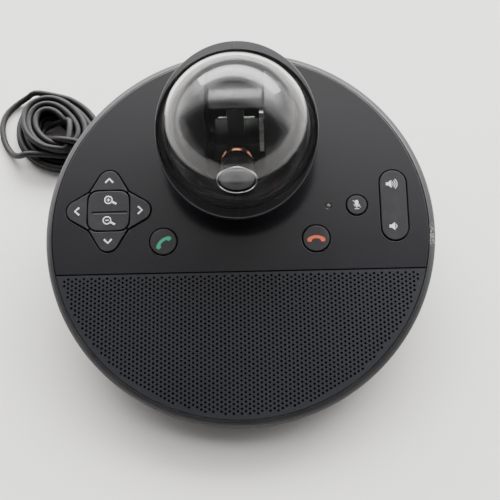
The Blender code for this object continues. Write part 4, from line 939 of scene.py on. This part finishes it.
for name, x, y, sign in (("zoom_in", -0.0002, 0.0070, plus), ("zoom_out", -0.0008, -0.0062, plus[:1])):
    place = DISC @ Matrix.Translation(PAD + Vector((x, y, 0)))
    for part, strokes, width, closed in (
            ("lens", [arc((0, 0), 0.0023, 0, 360, 40)[:-1]], 0.0007, True),
            ("sign", sign, 0.0006, False),
            ("handle", [[(0.0020, -0.0011), (0.0049, -0.0027)]], 0.0012, False)):
        marks.append((ink_lines(f"{name}_{part}_print", strokes, width, place, closed),
                      "zoom_rocker", white_ink))


def handset(length, bend, thick, ear):
    """A telephone handset seen from the side: a bowed grip with an ear piece at each end."""
    half = length / 2
    radius = (half * half + bend * bend) / (2 * bend)
    sweep = degrees(atan2(half, radius - bend))
    outer = arc((0, bend - radius), radius + thick / 2, 90 - sweep, 90 + sweep, 20)
    inner = arc((0, bend - radius), radius - thick / 2, 90 + sweep, 90 - sweep, 20)
    end_x, end_y = outer[-1]
    left_ear = [(end_x + ear * across, end_y - ear * down)
                for across, down in ((-0.30, 0.35), (-0.15, 1.0), (0.75, 1.05), (1.0, 0.35))]
    right_ear = [(-x, y) for x, y in reversed(left_ear)]
    trimmed = [(x, y) for x, y in inner if abs(x) < -end_x - ear]
    return outer + left_ear + trimmed + right_ear


for node, ink, turn in (("call_key", green_ink, radians(40)), ("hangup_key", red_ink, 0.0)):
    x, y, _ = ROUND_KEYS[node]
    place = DISC @ Matrix.Translation((x, y - 0.0004, 0)) @ Matrix.Rotation(turn, 4, "Z")
    marks.append((ink_shape(node + "_print", [handset(0.0086, 0.0013, 0.0019, 0.0024)], place),
                  node, ink))
x, y, _ = ROUND_KEYS["mute_key"]
mute_place = DISC @ Matrix.Translation((x, y + 0.0002, 0))
marks.append((ink_shape("mute_head_print", [pill((0, 0.0011), 0.0010, 0.0036)], mute_place),
              "mute_key", white_ink))
marks.append((ink_lines("mute_stand_print", [
    arc((0, 0.0006), 0.0018, 190, 350, 14), [(0.0, -0.0012), (0.0, -0.0026)],
    [(-0.0014, -0.0027), (0.0014, -0.0027)], [(-0.0023, 0.0028), (0.0023, -0.0018)],
], 0.00032, mute_place), "mute_key", white_ink))
for name, x, y, waves in (("louder", -0.0004, 0.0136, 3), ("quieter", 0.0004, -0.0136, 1)):
    place = DISC @ Matrix.Translation((VOLUME[0] + x, VOLUME[1] + y, 0))
    horn = [(-0.0038, -0.0009), (-0.0024, -0.0009), (-0.0005, -0.0025), (-0.0005, 0.0025),
            (-0.0024, 0.0009), (-0.0038, 0.0009)]
    marks.append((ink_shape(name + "_horn_print", [horn], place), "volume_rocker", white_ink))
    rings = [arc((-0.0010, 0), 0.0016 + 0.0012 * wave, -48, 48, 12) for wave in range(waves)]
    marks.append((ink_lines(name + "_wave_print", rings, 0.00040, place), "volume_rocker",
                  white_ink))
for mark, node, ink in marks:
    ink.paint(mark)
    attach(mark, node)


# ---------------------------------------------------------------- status lamp
# A small smoked light pipe is pressed into the deck from below and ends flush with its face.

lamp = spun("lamp_pipe", [(0, 0.0), (0.0009, -0.00005), (0.0015, -0.0003), (0.0015, -0.0040),
                          (0, -0.0040)], DISC @ Matrix.Translation((*LAMP, 0.00005)), 32, 0.0001)
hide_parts("status_led")
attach(lamp, "base")
smoked = Finish("smoked_lens", (0.07, 0.07, 0.07), 0.4)
smoked.put(Roughness=smoked.noise(800.0, 2.0) * 0.2 + 0.32)
smoked.paint(lamp)


# ---------------------------------------------------------------- parts inside
# Frame, ballast, boards, microphone, loudspeaker, bearings, gears and motors are carried over
# from the working model. Little of them shows, but each has the finish of its own material.

inside = Finish("frame_plastic", (0.010, 0.010, 0.011), 0.55, Specular_IOR_Level=0.3)
inside.bump(inside.noise(700.0, 3.0), 0.0001, 0.5)
steel = Finish("zinc_steel", (0.52, 0.53, 0.54), 0.35, Metallic=1.0)
steel.put(Roughness=steel.noise(320.0, 5.0) * 0.3 + 0.22)
solder_mask = Finish("solder_mask", (0.010, 0.10, 0.045), 0.35)
tracks = solder_mask.cells(260.0, "DISTANCE_TO_EDGE").above(0.06, 0.03)
solder_mask.put(Base_Color=solder_mask.mix(tracks, (0.02, 0.20, 0.09), (0.008, 0.09, 0.04)))
silicone = Finish("silicone_mat", (0.05, 0.05, 0.052), 0.7)
silicone.bump(silicone.noise(500.0, 2.0), 0.0001, 0.4)
ferrite = Finish("ferrite", (0.045, 0.045, 0.048), 0.65)
ferrite.bump(ferrite.noise(1200.0, 4.0), 0.0001, 0.7)
cone_paper = Finish("cone_paper", (0.028, 0.027, 0.026), 0.85)
cone_paper.bump(cone_paper.noise(1600.0, 4.0), 0.0001, 0.8)
acetal = Finish("acetal", (0.72, 0.71, 0.66), 0.42)
acetal.put(Base_Color=acetal.mix(acetal.noise(200.0, 3.0), (0.68, 0.67, 0.62),
                                 (0.78, 0.77, 0.72)))
sintered = Finish("sintered_bronze", (0.50, 0.32, 0.15), 0.45, Metallic=1.0)
sintered.bump(sintered.noise(2500.0, 4.0), 0.00008, 0.8)
for finish, nodes in (
        (inside, ("inner_frame", "speaker_basket", "neck_socket")),
        (steel, ("ballast_plate", "microphone", "pan_motor", "pan_pinion", "tilt_motor",
                 "tilt_pinion")),
        (solder_mask, ("main_board", "key_board", "sensor_board")),
        (silicone, ("key_mat", "speaker_surround")),
        (ferrite, ("speaker_magnet",)),
        (cone_paper, ("speaker_cone",)),
        (acetal, ("pan_gear", "tilt_gear")),
        (sintered, ("pan_bearing",))):
    finish.paint(*[frame["nodes"][node] for node in nodes])


# ---------------------------------------------------------------- neck
# A moulded gloss black stalk stands upright in the deck's opening. Its stub plugs into the socket
# in the base, its shoulder lands on the deck, and its cup holds the pan gear.

NECK = Matrix.Translation((pan_axis.x, pan_axis.y, 0.0))
neck_low, neck_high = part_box("neck")
SHOULDER, STUB_RADIUS = 0.0426, 0.0180
CUP_RADIUS, CUP_FLOOR = 0.0236, 0.0456
SEAT_RADIUS, SEAT_BORE, SEAT_TOP, SEAT_FLOOR = 0.0095, 0.0074, 0.0540, 0.0441
neck_stalk = spun("neck_stalk", [
    (0, neck_low.z), (STUB_RADIUS, neck_low.z), (STUB_RADIUS, SHOULDER), (NECK_RADIUS, SHOULDER),
    (NECK_RADIUS, neck_high.z - 0.0030), (NECK_RADIUS - 0.0006, neck_high.z - 0.0026),
    (NECK_RADIUS - 0.0006, neck_high.z - 0.0018), (NECK_RADIUS, neck_high.z - 0.0014),
    (NECK_RADIUS, neck_high.z), (CUP_RADIUS, neck_high.z), (CUP_RADIUS, CUP_FLOOR),
    (SEAT_RADIUS, CUP_FLOOR), (SEAT_RADIUS, SEAT_TOP), (SEAT_BORE, SEAT_TOP),
    (SEAT_BORE, SEAT_FLOOR), (0, SEAT_FLOOR),
], NECK, 96, 0.0002)
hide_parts("neck")
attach(neck_stalk, "neck")
head_gloss = Finish("head_gloss", (0.011, 0.011, 0.012), 0.22)
rubbed = head_gloss.noise(55.0, 5.0)
head_gloss.put(Roughness=rubbed * 0.16 + 0.15)
head_gloss.bump(head_gloss.noise(180.0, 2.0), 0.00003, 0.3)
head_gloss.paint(neck_stalk, frame["nodes"]["pan_platform"])


# ---------------------------------------------------------------- head shells
# The drum under the dome is moulded in two halves that meet front and back. Its rim leans towards
# the user, its pocket takes the seal and the dome, and its lower edge is generously rounded.

tilt_axis = Vector(joints["lens_tilt"]["pos_m"])
LEAN = radians(23.6)
RING_HEIGHT = 0.0870
RING = NECK @ Matrix.Translation((0, 0, RING_HEIGHT)) @ Matrix.Rotation(LEAN, 4, "X")
HEAD_RADIUS, HEAD_BOTTOM, ROUNDED_SHARE = 0.0494, 0.0720, 0.62
POCKET_RADIUS, LEDGE_RADIUS, POCKET_DEPTH, HEAD_WALL = 0.0482, 0.0436, 0.0044, 0.0022
HEAD_SEGMENTS = 128
HEAD_TURNS = [2 * pi * (i + 0.5) / HEAD_SEGMENTS for i in range(HEAD_SEGMENTS)]


def upright_ring(radius, height_at):
    """A level circle seen from above, whose height changes from front to back."""
    return [NECK @ Vector((radius * cos(turn), radius * sin(turn), height_at(radius * sin(turn))))
            for turn in HEAD_TURNS]


def rim_at(y):
    return RING_HEIGHT + y * tan(LEAN)


def floor_at(y):
    return HEAD_BOTTOM + y * tan(tilt)


def leaning_ring(radius, depth):
    return [RING @ Vector((radius * cos(turn), radius * sin(turn), -depth)) for turn in HEAD_TURNS]


def lower_edge(step):
    """A ring on the rounded lower edge, from the wall, step 0, to the floor, step 1."""
    ring = []
    for turn in HEAD_TURNS:
        reach = ROUNDED_SHARE * (rim_at(HEAD_RADIUS * sin(turn)) - floor_at(HEAD_RADIUS * sin(turn)))
        radius = HEAD_RADIUS - reach * (1 - cos(pi / 2 * step))
        y = radius * sin(turn)
        ring.append(NECK @ Vector((radius * cos(turn), y,
                                   floor_at(y) + reach * (1 - sin(pi / 2 * step)))))
    return ring


def head_inside(share):
    """A ring on the inside of the floor, share of the way out to under the ledge."""
    ring = []
    for corner in leaning_ring(LEDGE_RADIUS, POCKET_DEPTH):
        point = NECK.inverted() @ corner
        x, y = point.x * share, point.y * share
        radius = sqrt(x * x + y * y)
        wall_y = y / radius * HEAD_RADIUS
        reach = ROUNDED_SHARE * (rim_at(wall_y) - floor_at(wall_y))
        past = max(radius - (HEAD_RADIUS - reach), 0)
        z = floor_at(y) + reach - sqrt(reach * reach - past * past) + HEAD_WALL
        ring.append(NECK @ Vector((x, y, min(z, point.z - 0.0006) if share == 1 else z)))
    return ring


TURNTABLE = 0.0285
drum_rings = [upright_ring(HEAD_RADIUS - 0.0001, lambda y: rim_at(y) - 0.0006),
              upright_ring(HEAD_RADIUS, lambda y: rim_at(y) - 0.0012)]
drum_rings += [lower_edge(step / 8) for step in range(9)]
drum_rings += [
    upright_ring(TURNTABLE, floor_at), upright_ring(TURNTABLE, lambda y: floor_at(y) + HEAD_WALL),
    head_inside(0.85), head_inside(1),
    leaning_ring(LEDGE_RADIUS, POCKET_DEPTH), leaning_ring(POCKET_RADIUS, POCKET_DEPTH),
    leaning_ring(POCKET_RADIUS, 0.0003), leaning_ring(POCKET_RADIUS + 0.0002, 0),
    upright_ring(HEAD_RADIUS - 0.0005, lambda y: rim_at(y) - 0.0001),
]
drum_left = lofted("drum_left", drum_rings, closed=True)
select_only(drum_left)
bpy.ops.object.duplicate()
drum_right = bpy.context.object
drum_right.name = "drum_right"
SEAM = 0.00004
for half, side in ((drum_left, -1), (drum_right, 1)):
    open_mesh(half)
    bpy.ops.mesh.bisect(plane_co=(side * SEAM, 0, 0), plane_no=(side, 0, 0), clear_inner=True,
                        use_fill=True)
    close_mesh()
    bpy.ops.object.shade_smooth_by_angle(angle=radians(32))
    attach(half, "head")
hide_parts("head_shell_left")
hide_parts("head_shell_right")
shell_black = Finish("shell_black", (0.013, 0.013, 0.014), 0.30)
worn_rim = shell_black.noise(70.0, 6.0)
shell_tone = shell_black.mix(worn_rim.above(0.55, 0.2), (0.012, 0.012, 0.013),
                             (0.022, 0.022, 0.023))
ring_axis = RING.col[2].to_3d()
# The rear of the rim's land is painted light grey: a painted highlight of the light from behind.
near_rim = shell_black.along(ring_axis).above(ring_axis.dot(RING.translation) - 0.0022, 0.0006)
rim_land_painted_highlight = near_rim * shell_black.along((0, 1, 0)).above(0.050, 0.035)
shell_black.put(Roughness=worn_rim * 0.2 + 0.22,
                Base_Color=shell_black.mix(rim_land_painted_highlight, shell_tone, (0.13, 0.13, 0.135)))
shell_black.bump(shell_black.noise(1500.0, 2.0), 0.00003, 0.4)
shell_black.paint(drum_left, drum_right)


# ---------------------------------------------------------------- seal and dome
# A flat black ring of rubber sits on the ledge in the drum's pocket. The dome is one clear
# polycarbonate moulding, 1.8 mm thick, whose stepped flange lies on the seal.

SEAL_LOW, SEAL_TOP = -POCKET_DEPTH + 0.0003, -POCKET_DEPTH + 0.0018
SEAL_INNER, SEAL_OUTER = LEDGE_RADIUS + 0.0003, POCKET_RADIUS - 0.0004
seal = spun("seal_ring", [(SEAL_INNER, SEAL_LOW), (SEAL_OUTER, SEAL_LOW), (SEAL_OUTER, SEAL_TOP),
                          (SEAL_INNER, SEAL_TOP)], RING, 96, 0.0002)
pad_rubber.paint(seal)
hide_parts("dome_seal")
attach(seal, "head")
DOME_RADIUS, DOME_WALL, FLANGE, FLANGE_STEP = 0.0452, 0.0018, 0.0020, 0.0470
flange_low = SEAL_TOP + 0.0003
flange_high = flange_low + FLANGE
dome_start = degrees(atan2(flange_high, DOME_RADIUS))
dome_profile = [(SEAL_OUTER, flange_low), (SEAL_OUTER, flange_high),
                (FLANGE_STEP, flange_high), (FLANGE_STEP - 0.0002, flange_high - 0.0005),
                (DOME_RADIUS + 0.0009, flange_high - 0.0005)]
dome_profile += arc((0, 0), DOME_RADIUS, dome_start, 90, 48)
dome_profile += arc((0, 0), DOME_RADIUS - DOME_WALL, 90, 0, 48)
dome_profile.append((DOME_RADIUS - DOME_WALL, flange_low))


def spun_dome(name, profile, place, steps):
    """Spin a closed outline that touches its axis at two points: both skins close at the top."""
    rows, points, faces = [], [], []
    for radius, z in profile:
        spots = 1 if radius < 1e-6 else steps
        rows.append(range(len(points), len(points) + spots))
        points += [(radius * cos(2 * pi * i / steps), radius * sin(2 * pi * i / steps), z)
                   for i in range(spots)]
    for low, high in zip(rows, rows[1:] + rows[:1]):
        if len(low) == len(high) == 1:
            continue
        for i in range(steps):
            j = (i + 1) % steps
            corners = [low[i % len(low)], low[j % len(low)], high[j % len(high)],
                       high[i % len(high)]]
            faces.append([v for k, v in enumerate(corners) if v not in corners[:k]])
    obj = mesh_piece(name, points, [], faces)
    open_mesh(obj)
    close_mesh()
    bpy.ops.object.shade_smooth_by_angle(angle=radians(35))
    settle(obj, place)
    return obj


dome = spun_dome("dome_window", dome_profile, RING, 128)
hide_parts("clear_dome")
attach(dome, "head")
clear = Finish("clear_polycarbonate", (0.97, 0.98, 0.98), 0.02, Transmission_Weight=1.0, IOR=1.34)
haze = clear.noise(35.0, 5.0)
clear.put(Roughness=haze.above(0.5, 0.4) * 0.05 + 0.012)
clear.paint(dome)


# ---------------------------------------------------------------- cheeks
# Two polished black ball covers stand beside the lens slot, each with a flat side plate that
# carries the lens block's trunnion. They are screwed to the turntable under them.

CHEEK_RADIUS, CHEEK_WALL, CHEEK_CUT, SLOT_HALF = 0.0380, 0.0018, 0.0057, 0.0169
BALL = NECK @ Matrix.Translation((0, 0, RING_HEIGHT))
mirror_black = Finish("mirror_black", (0.005, 0.005, 0.006), 0.18, Specular_IOR_Level=0.22)
veil = mirror_black.noise(90.0, 6.0)
mirror_black.put(Roughness=veil * 0.24 + 0.08)
mirror_black.bump(mirror_black.noise(90.0, 2.0), 0.00003, 0.2)
cover_inside = CHEEK_RADIUS - CHEEK_WALL
cover_profile = arc((0, 0), CHEEK_RADIUS, degrees(asin(SLOT_HALF / CHEEK_RADIUS)), 90, 24)
cover_profile += arc((0, 0), cover_inside, 90, degrees(asin(SLOT_HALF / cover_inside)), 24)
plate_low = Vector((SLOT_HALF + 0.0003, -0.0090, -0.0187))
plate_high = Vector((SLOT_HALF + 0.0021, 0.0140, 0.0270))
BORE = 0.0039
for side, label in ((-1, "left"), (1, "right")):
    sideways = Matrix.Rotation(side * pi / 2, 4, "Y")
    cheek = spun_dome(f"cheek_cover_{label}", cover_profile, BALL @ sideways, 96)
    open_mesh(cheek)
    bpy.ops.mesh.bisect(plane_co=(BALL @ Vector((0, 0, CHEEK_CUT))), plane_no=(0, 0, 1),
                        clear_inner=True, use_fill=True)
    close_mesh()
    round_edges(cheek, 0.0003, 2, 50)
    middle = (plate_low + plate_high) / 2
    middle.x *= side
    plate = box(f"cheek_plate_{label}", plate_high - plate_low, BALL @ Matrix.Translation(middle))
    round_edges(plate, 0.0005, 2, 50)
    cut_with(plate, [spun("bore", [(0, SLOT_HALF - 0.003), (BORE, SLOT_HALF - 0.003),
                                   (BORE, SLOT_HALF + 0.005), (0, SLOT_HALF + 0.005)],
                          Matrix.Translation(tilt_axis) @ sideways, 32, 0)])
    mirror_black.paint(cheek)
    inside.paint(plate)
    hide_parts(f"cheek_{label}")
    for piece in (cheek, plate):
        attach(piece, "head")


# ---------------------------------------------------------------- slot shield
# A curved gloss black shutter rides on the lens block's stem and closes the slot above the lens
# as it tilts. It is moulded in one with the stem, and its edges are rounded.

LENS_RISE = radians(8.2)
LENS = Matrix.Translation(tilt_axis) @ Matrix.Rotation(pi / 2 - LENS_RISE, 4, "X")
SHIELD_RADIUS, SHIELD_WALL, SHIELD_START, SHIELD_END = 0.0345, 0.0015, 75.3, 130.8
SHIELD_HALF = SLOT_HALF - 0.0007
across = [SHIELD_HALF * share / 8 for share in range(-8, 9)]
outer_arc = arc((0, 0), SHIELD_RADIUS, SHIELD_START, SHIELD_END, 40)
inner_arc = arc((0, 0), SHIELD_RADIUS - SHIELD_WALL, SHIELD_START, SHIELD_END, 40)
shield_rings = []
for (outer_z, outer_y), (inner_z, inner_y) in zip(outer_arc, inner_arc):
    ring = [LENS @ Vector((x, outer_y, outer_z)) for x in across]
    ring += [LENS @ Vector((x, inner_y, inner_z)) for x in reversed(across)]
    shield_rings.append(ring)
shutter = lofted("slot_shutter", shield_rings)
round_edges(shutter, 0.0003, 2, 50)
mirror_black.paint(shutter)
stem = box("shutter_stem", (0.0100, 0.0240, 0.0060), LENS @ Matrix.Translation((0, 0.0213, 0.0050)))
round_edges(stem, 0.0006, 2, 50)
inside.paint(stem)
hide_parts("slot_shield")
for piece in (shutter, stem):
    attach(piece, "camera")


# ---------------------------------------------------------------- lens block
# A black moulded block holds the sensor and swings on two trunnions. The lens screws into it: a
# knurled barrel with a copper focus ring, a bright front ring and a coated glass, whose grey face and
# fine concentric rings are painted reflection.

select_only(frame["nodes"]["lens_housing"])
bpy.ops.object.duplicate()
lens_block = bpy.context.object
lens_block.name = "lens_block"
for key in list(lens_block.keys()):
    del lens_block[key]
lens_block.parent = None
open_mesh(lens_block)
bpy.ops.mesh.remove_doubles(threshold=1e-6)
bpy.ops.mesh.dissolve_limited(angle_limit=radians(1.0))
bpy.ops.object.mode_set(mode="OBJECT")
round_edges(lens_block, 0.0006, 2, 50)
THREAD, TUBE, WAIST, HOOD = 0.0080, 0.0095, 0.0091, 0.0113
barrel = spun("lens_tube", [
    (0, 0.0143), (THREAD, 0.0143), (THREAD, 0.0200), (TUBE, 0.0205), (TUBE, 0.0225),
    (WAIST, 0.0228), (WAIST, 0.0240), (TUBE, 0.0243), (TUBE, 0.0262), (WAIST, 0.0265),
    (WAIST, 0.0277), (TUBE, 0.0280), (TUBE, 0.0292), (HOOD, 0.0302), (HOOD, 0.0316), (0, 0.0316),
], LENS, 96, 0.00015)
focus_ring = spun("focus_ring", [
    (0.0082, 0.0148), (0.0094, 0.0150), (0.0098, 0.0168), (0.0094, 0.0190), (0.0082, 0.0192),
], LENS, 96, 0.0002)
front_collar = spun("front_collar", [
    (0.0103, 0.0318), (0.0120, 0.0318), (0.0121, 0.0322), (0.0121, 0.0336), (0.0110, 0.0336),
    (0.0106, 0.0332), (0.0103, 0.0328),
], LENS, 96, 0.0002)
front_ring = spun("front_ring", [
    (0.0111, 0.0337), (0.0121, 0.0337), (0.0120, 0.0341), (0.0116, 0.0343), (0.0112, 0.0341),
], LENS, 96, 0.00015)
GLASS, GLASS_LOW, GLASS_EDGE, GLASS_BULGE = 0.0102, 0.0320, 0.0330, 0.0009
glass_profile = [(0, GLASS_LOW), (GLASS, GLASS_LOW)]
glass_profile += [(GLASS * cos(radians(turn)), GLASS_EDGE + GLASS_BULGE * sin(radians(turn)))
                  for turn in range(0, 90, 15)]
glass_profile.append((0, GLASS_EDGE + GLASS_BULGE))
front_glass = spun("front_glass", glass_profile, LENS, 64, 0)
dark_tube = Finish("barrel_black", (0.006, 0.006, 0.007), 0.5, Specular_IOR_Level=0.25)
dark_tube.bump(dark_tube.waves(700.0, "X"), 0.00006, 0.5)
copper = Finish("copper_ring", (0.62, 0.28, 0.16), 0.25, Metallic=1.0)
copper.put(Base_Color=copper.mix(copper.noise(300.0, 3.0), (0.55, 0.22, 0.12),
                                 (0.75, 0.42, 0.28)))
silver = Finish("bright_ring", (0.80, 0.81, 0.83), 0.22, Metallic=1.0)
silver.put(Roughness=silver.noise(500.0, 3.0) * 0.14 + 0.16)
coating = Finish("coated_glass", (0.030, 0.030, 0.036), 0.04, Coat_Weight=1.0)
# The glass's grey face and its fine concentric rings are painted reflection, darker in the middle.
off_centre = coating.away_from(LENS @ Vector((0, 0, 0.0335)))
REFLECTION_RING_SCALE = 5200.0
painted_reflection_rings = (off_centre * REFLECTION_RING_SCALE).sine() * 0.5 + 0.5
painted_reflection_tone = coating.mix(painted_reflection_rings, (0.13, 0.125, 0.14), (0.24, 0.24, 0.235))
coating.put(Base_Color=coating.mix(off_centre.above(0.0030, 0.0030), (0.12, 0.115, 0.13),
                                   painted_reflection_tone))
dark_tube.paint(lens_block, barrel, front_collar)
copper.paint(focus_ring)
silver.paint(front_ring)
coating.paint(front_glass)
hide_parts("lens_housing")
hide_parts("lens_barrel")
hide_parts("lens_ring")
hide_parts("lens_glass")
for piece, slot in ((lens_block, "housing_black"), (barrel, "housing_black"),
                    (front_collar, "housing_black"), (focus_ring, "bronze"),
                    (front_ring, "lens_silver"), (front_glass, "lens_glass")):
    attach(piece, "camera")
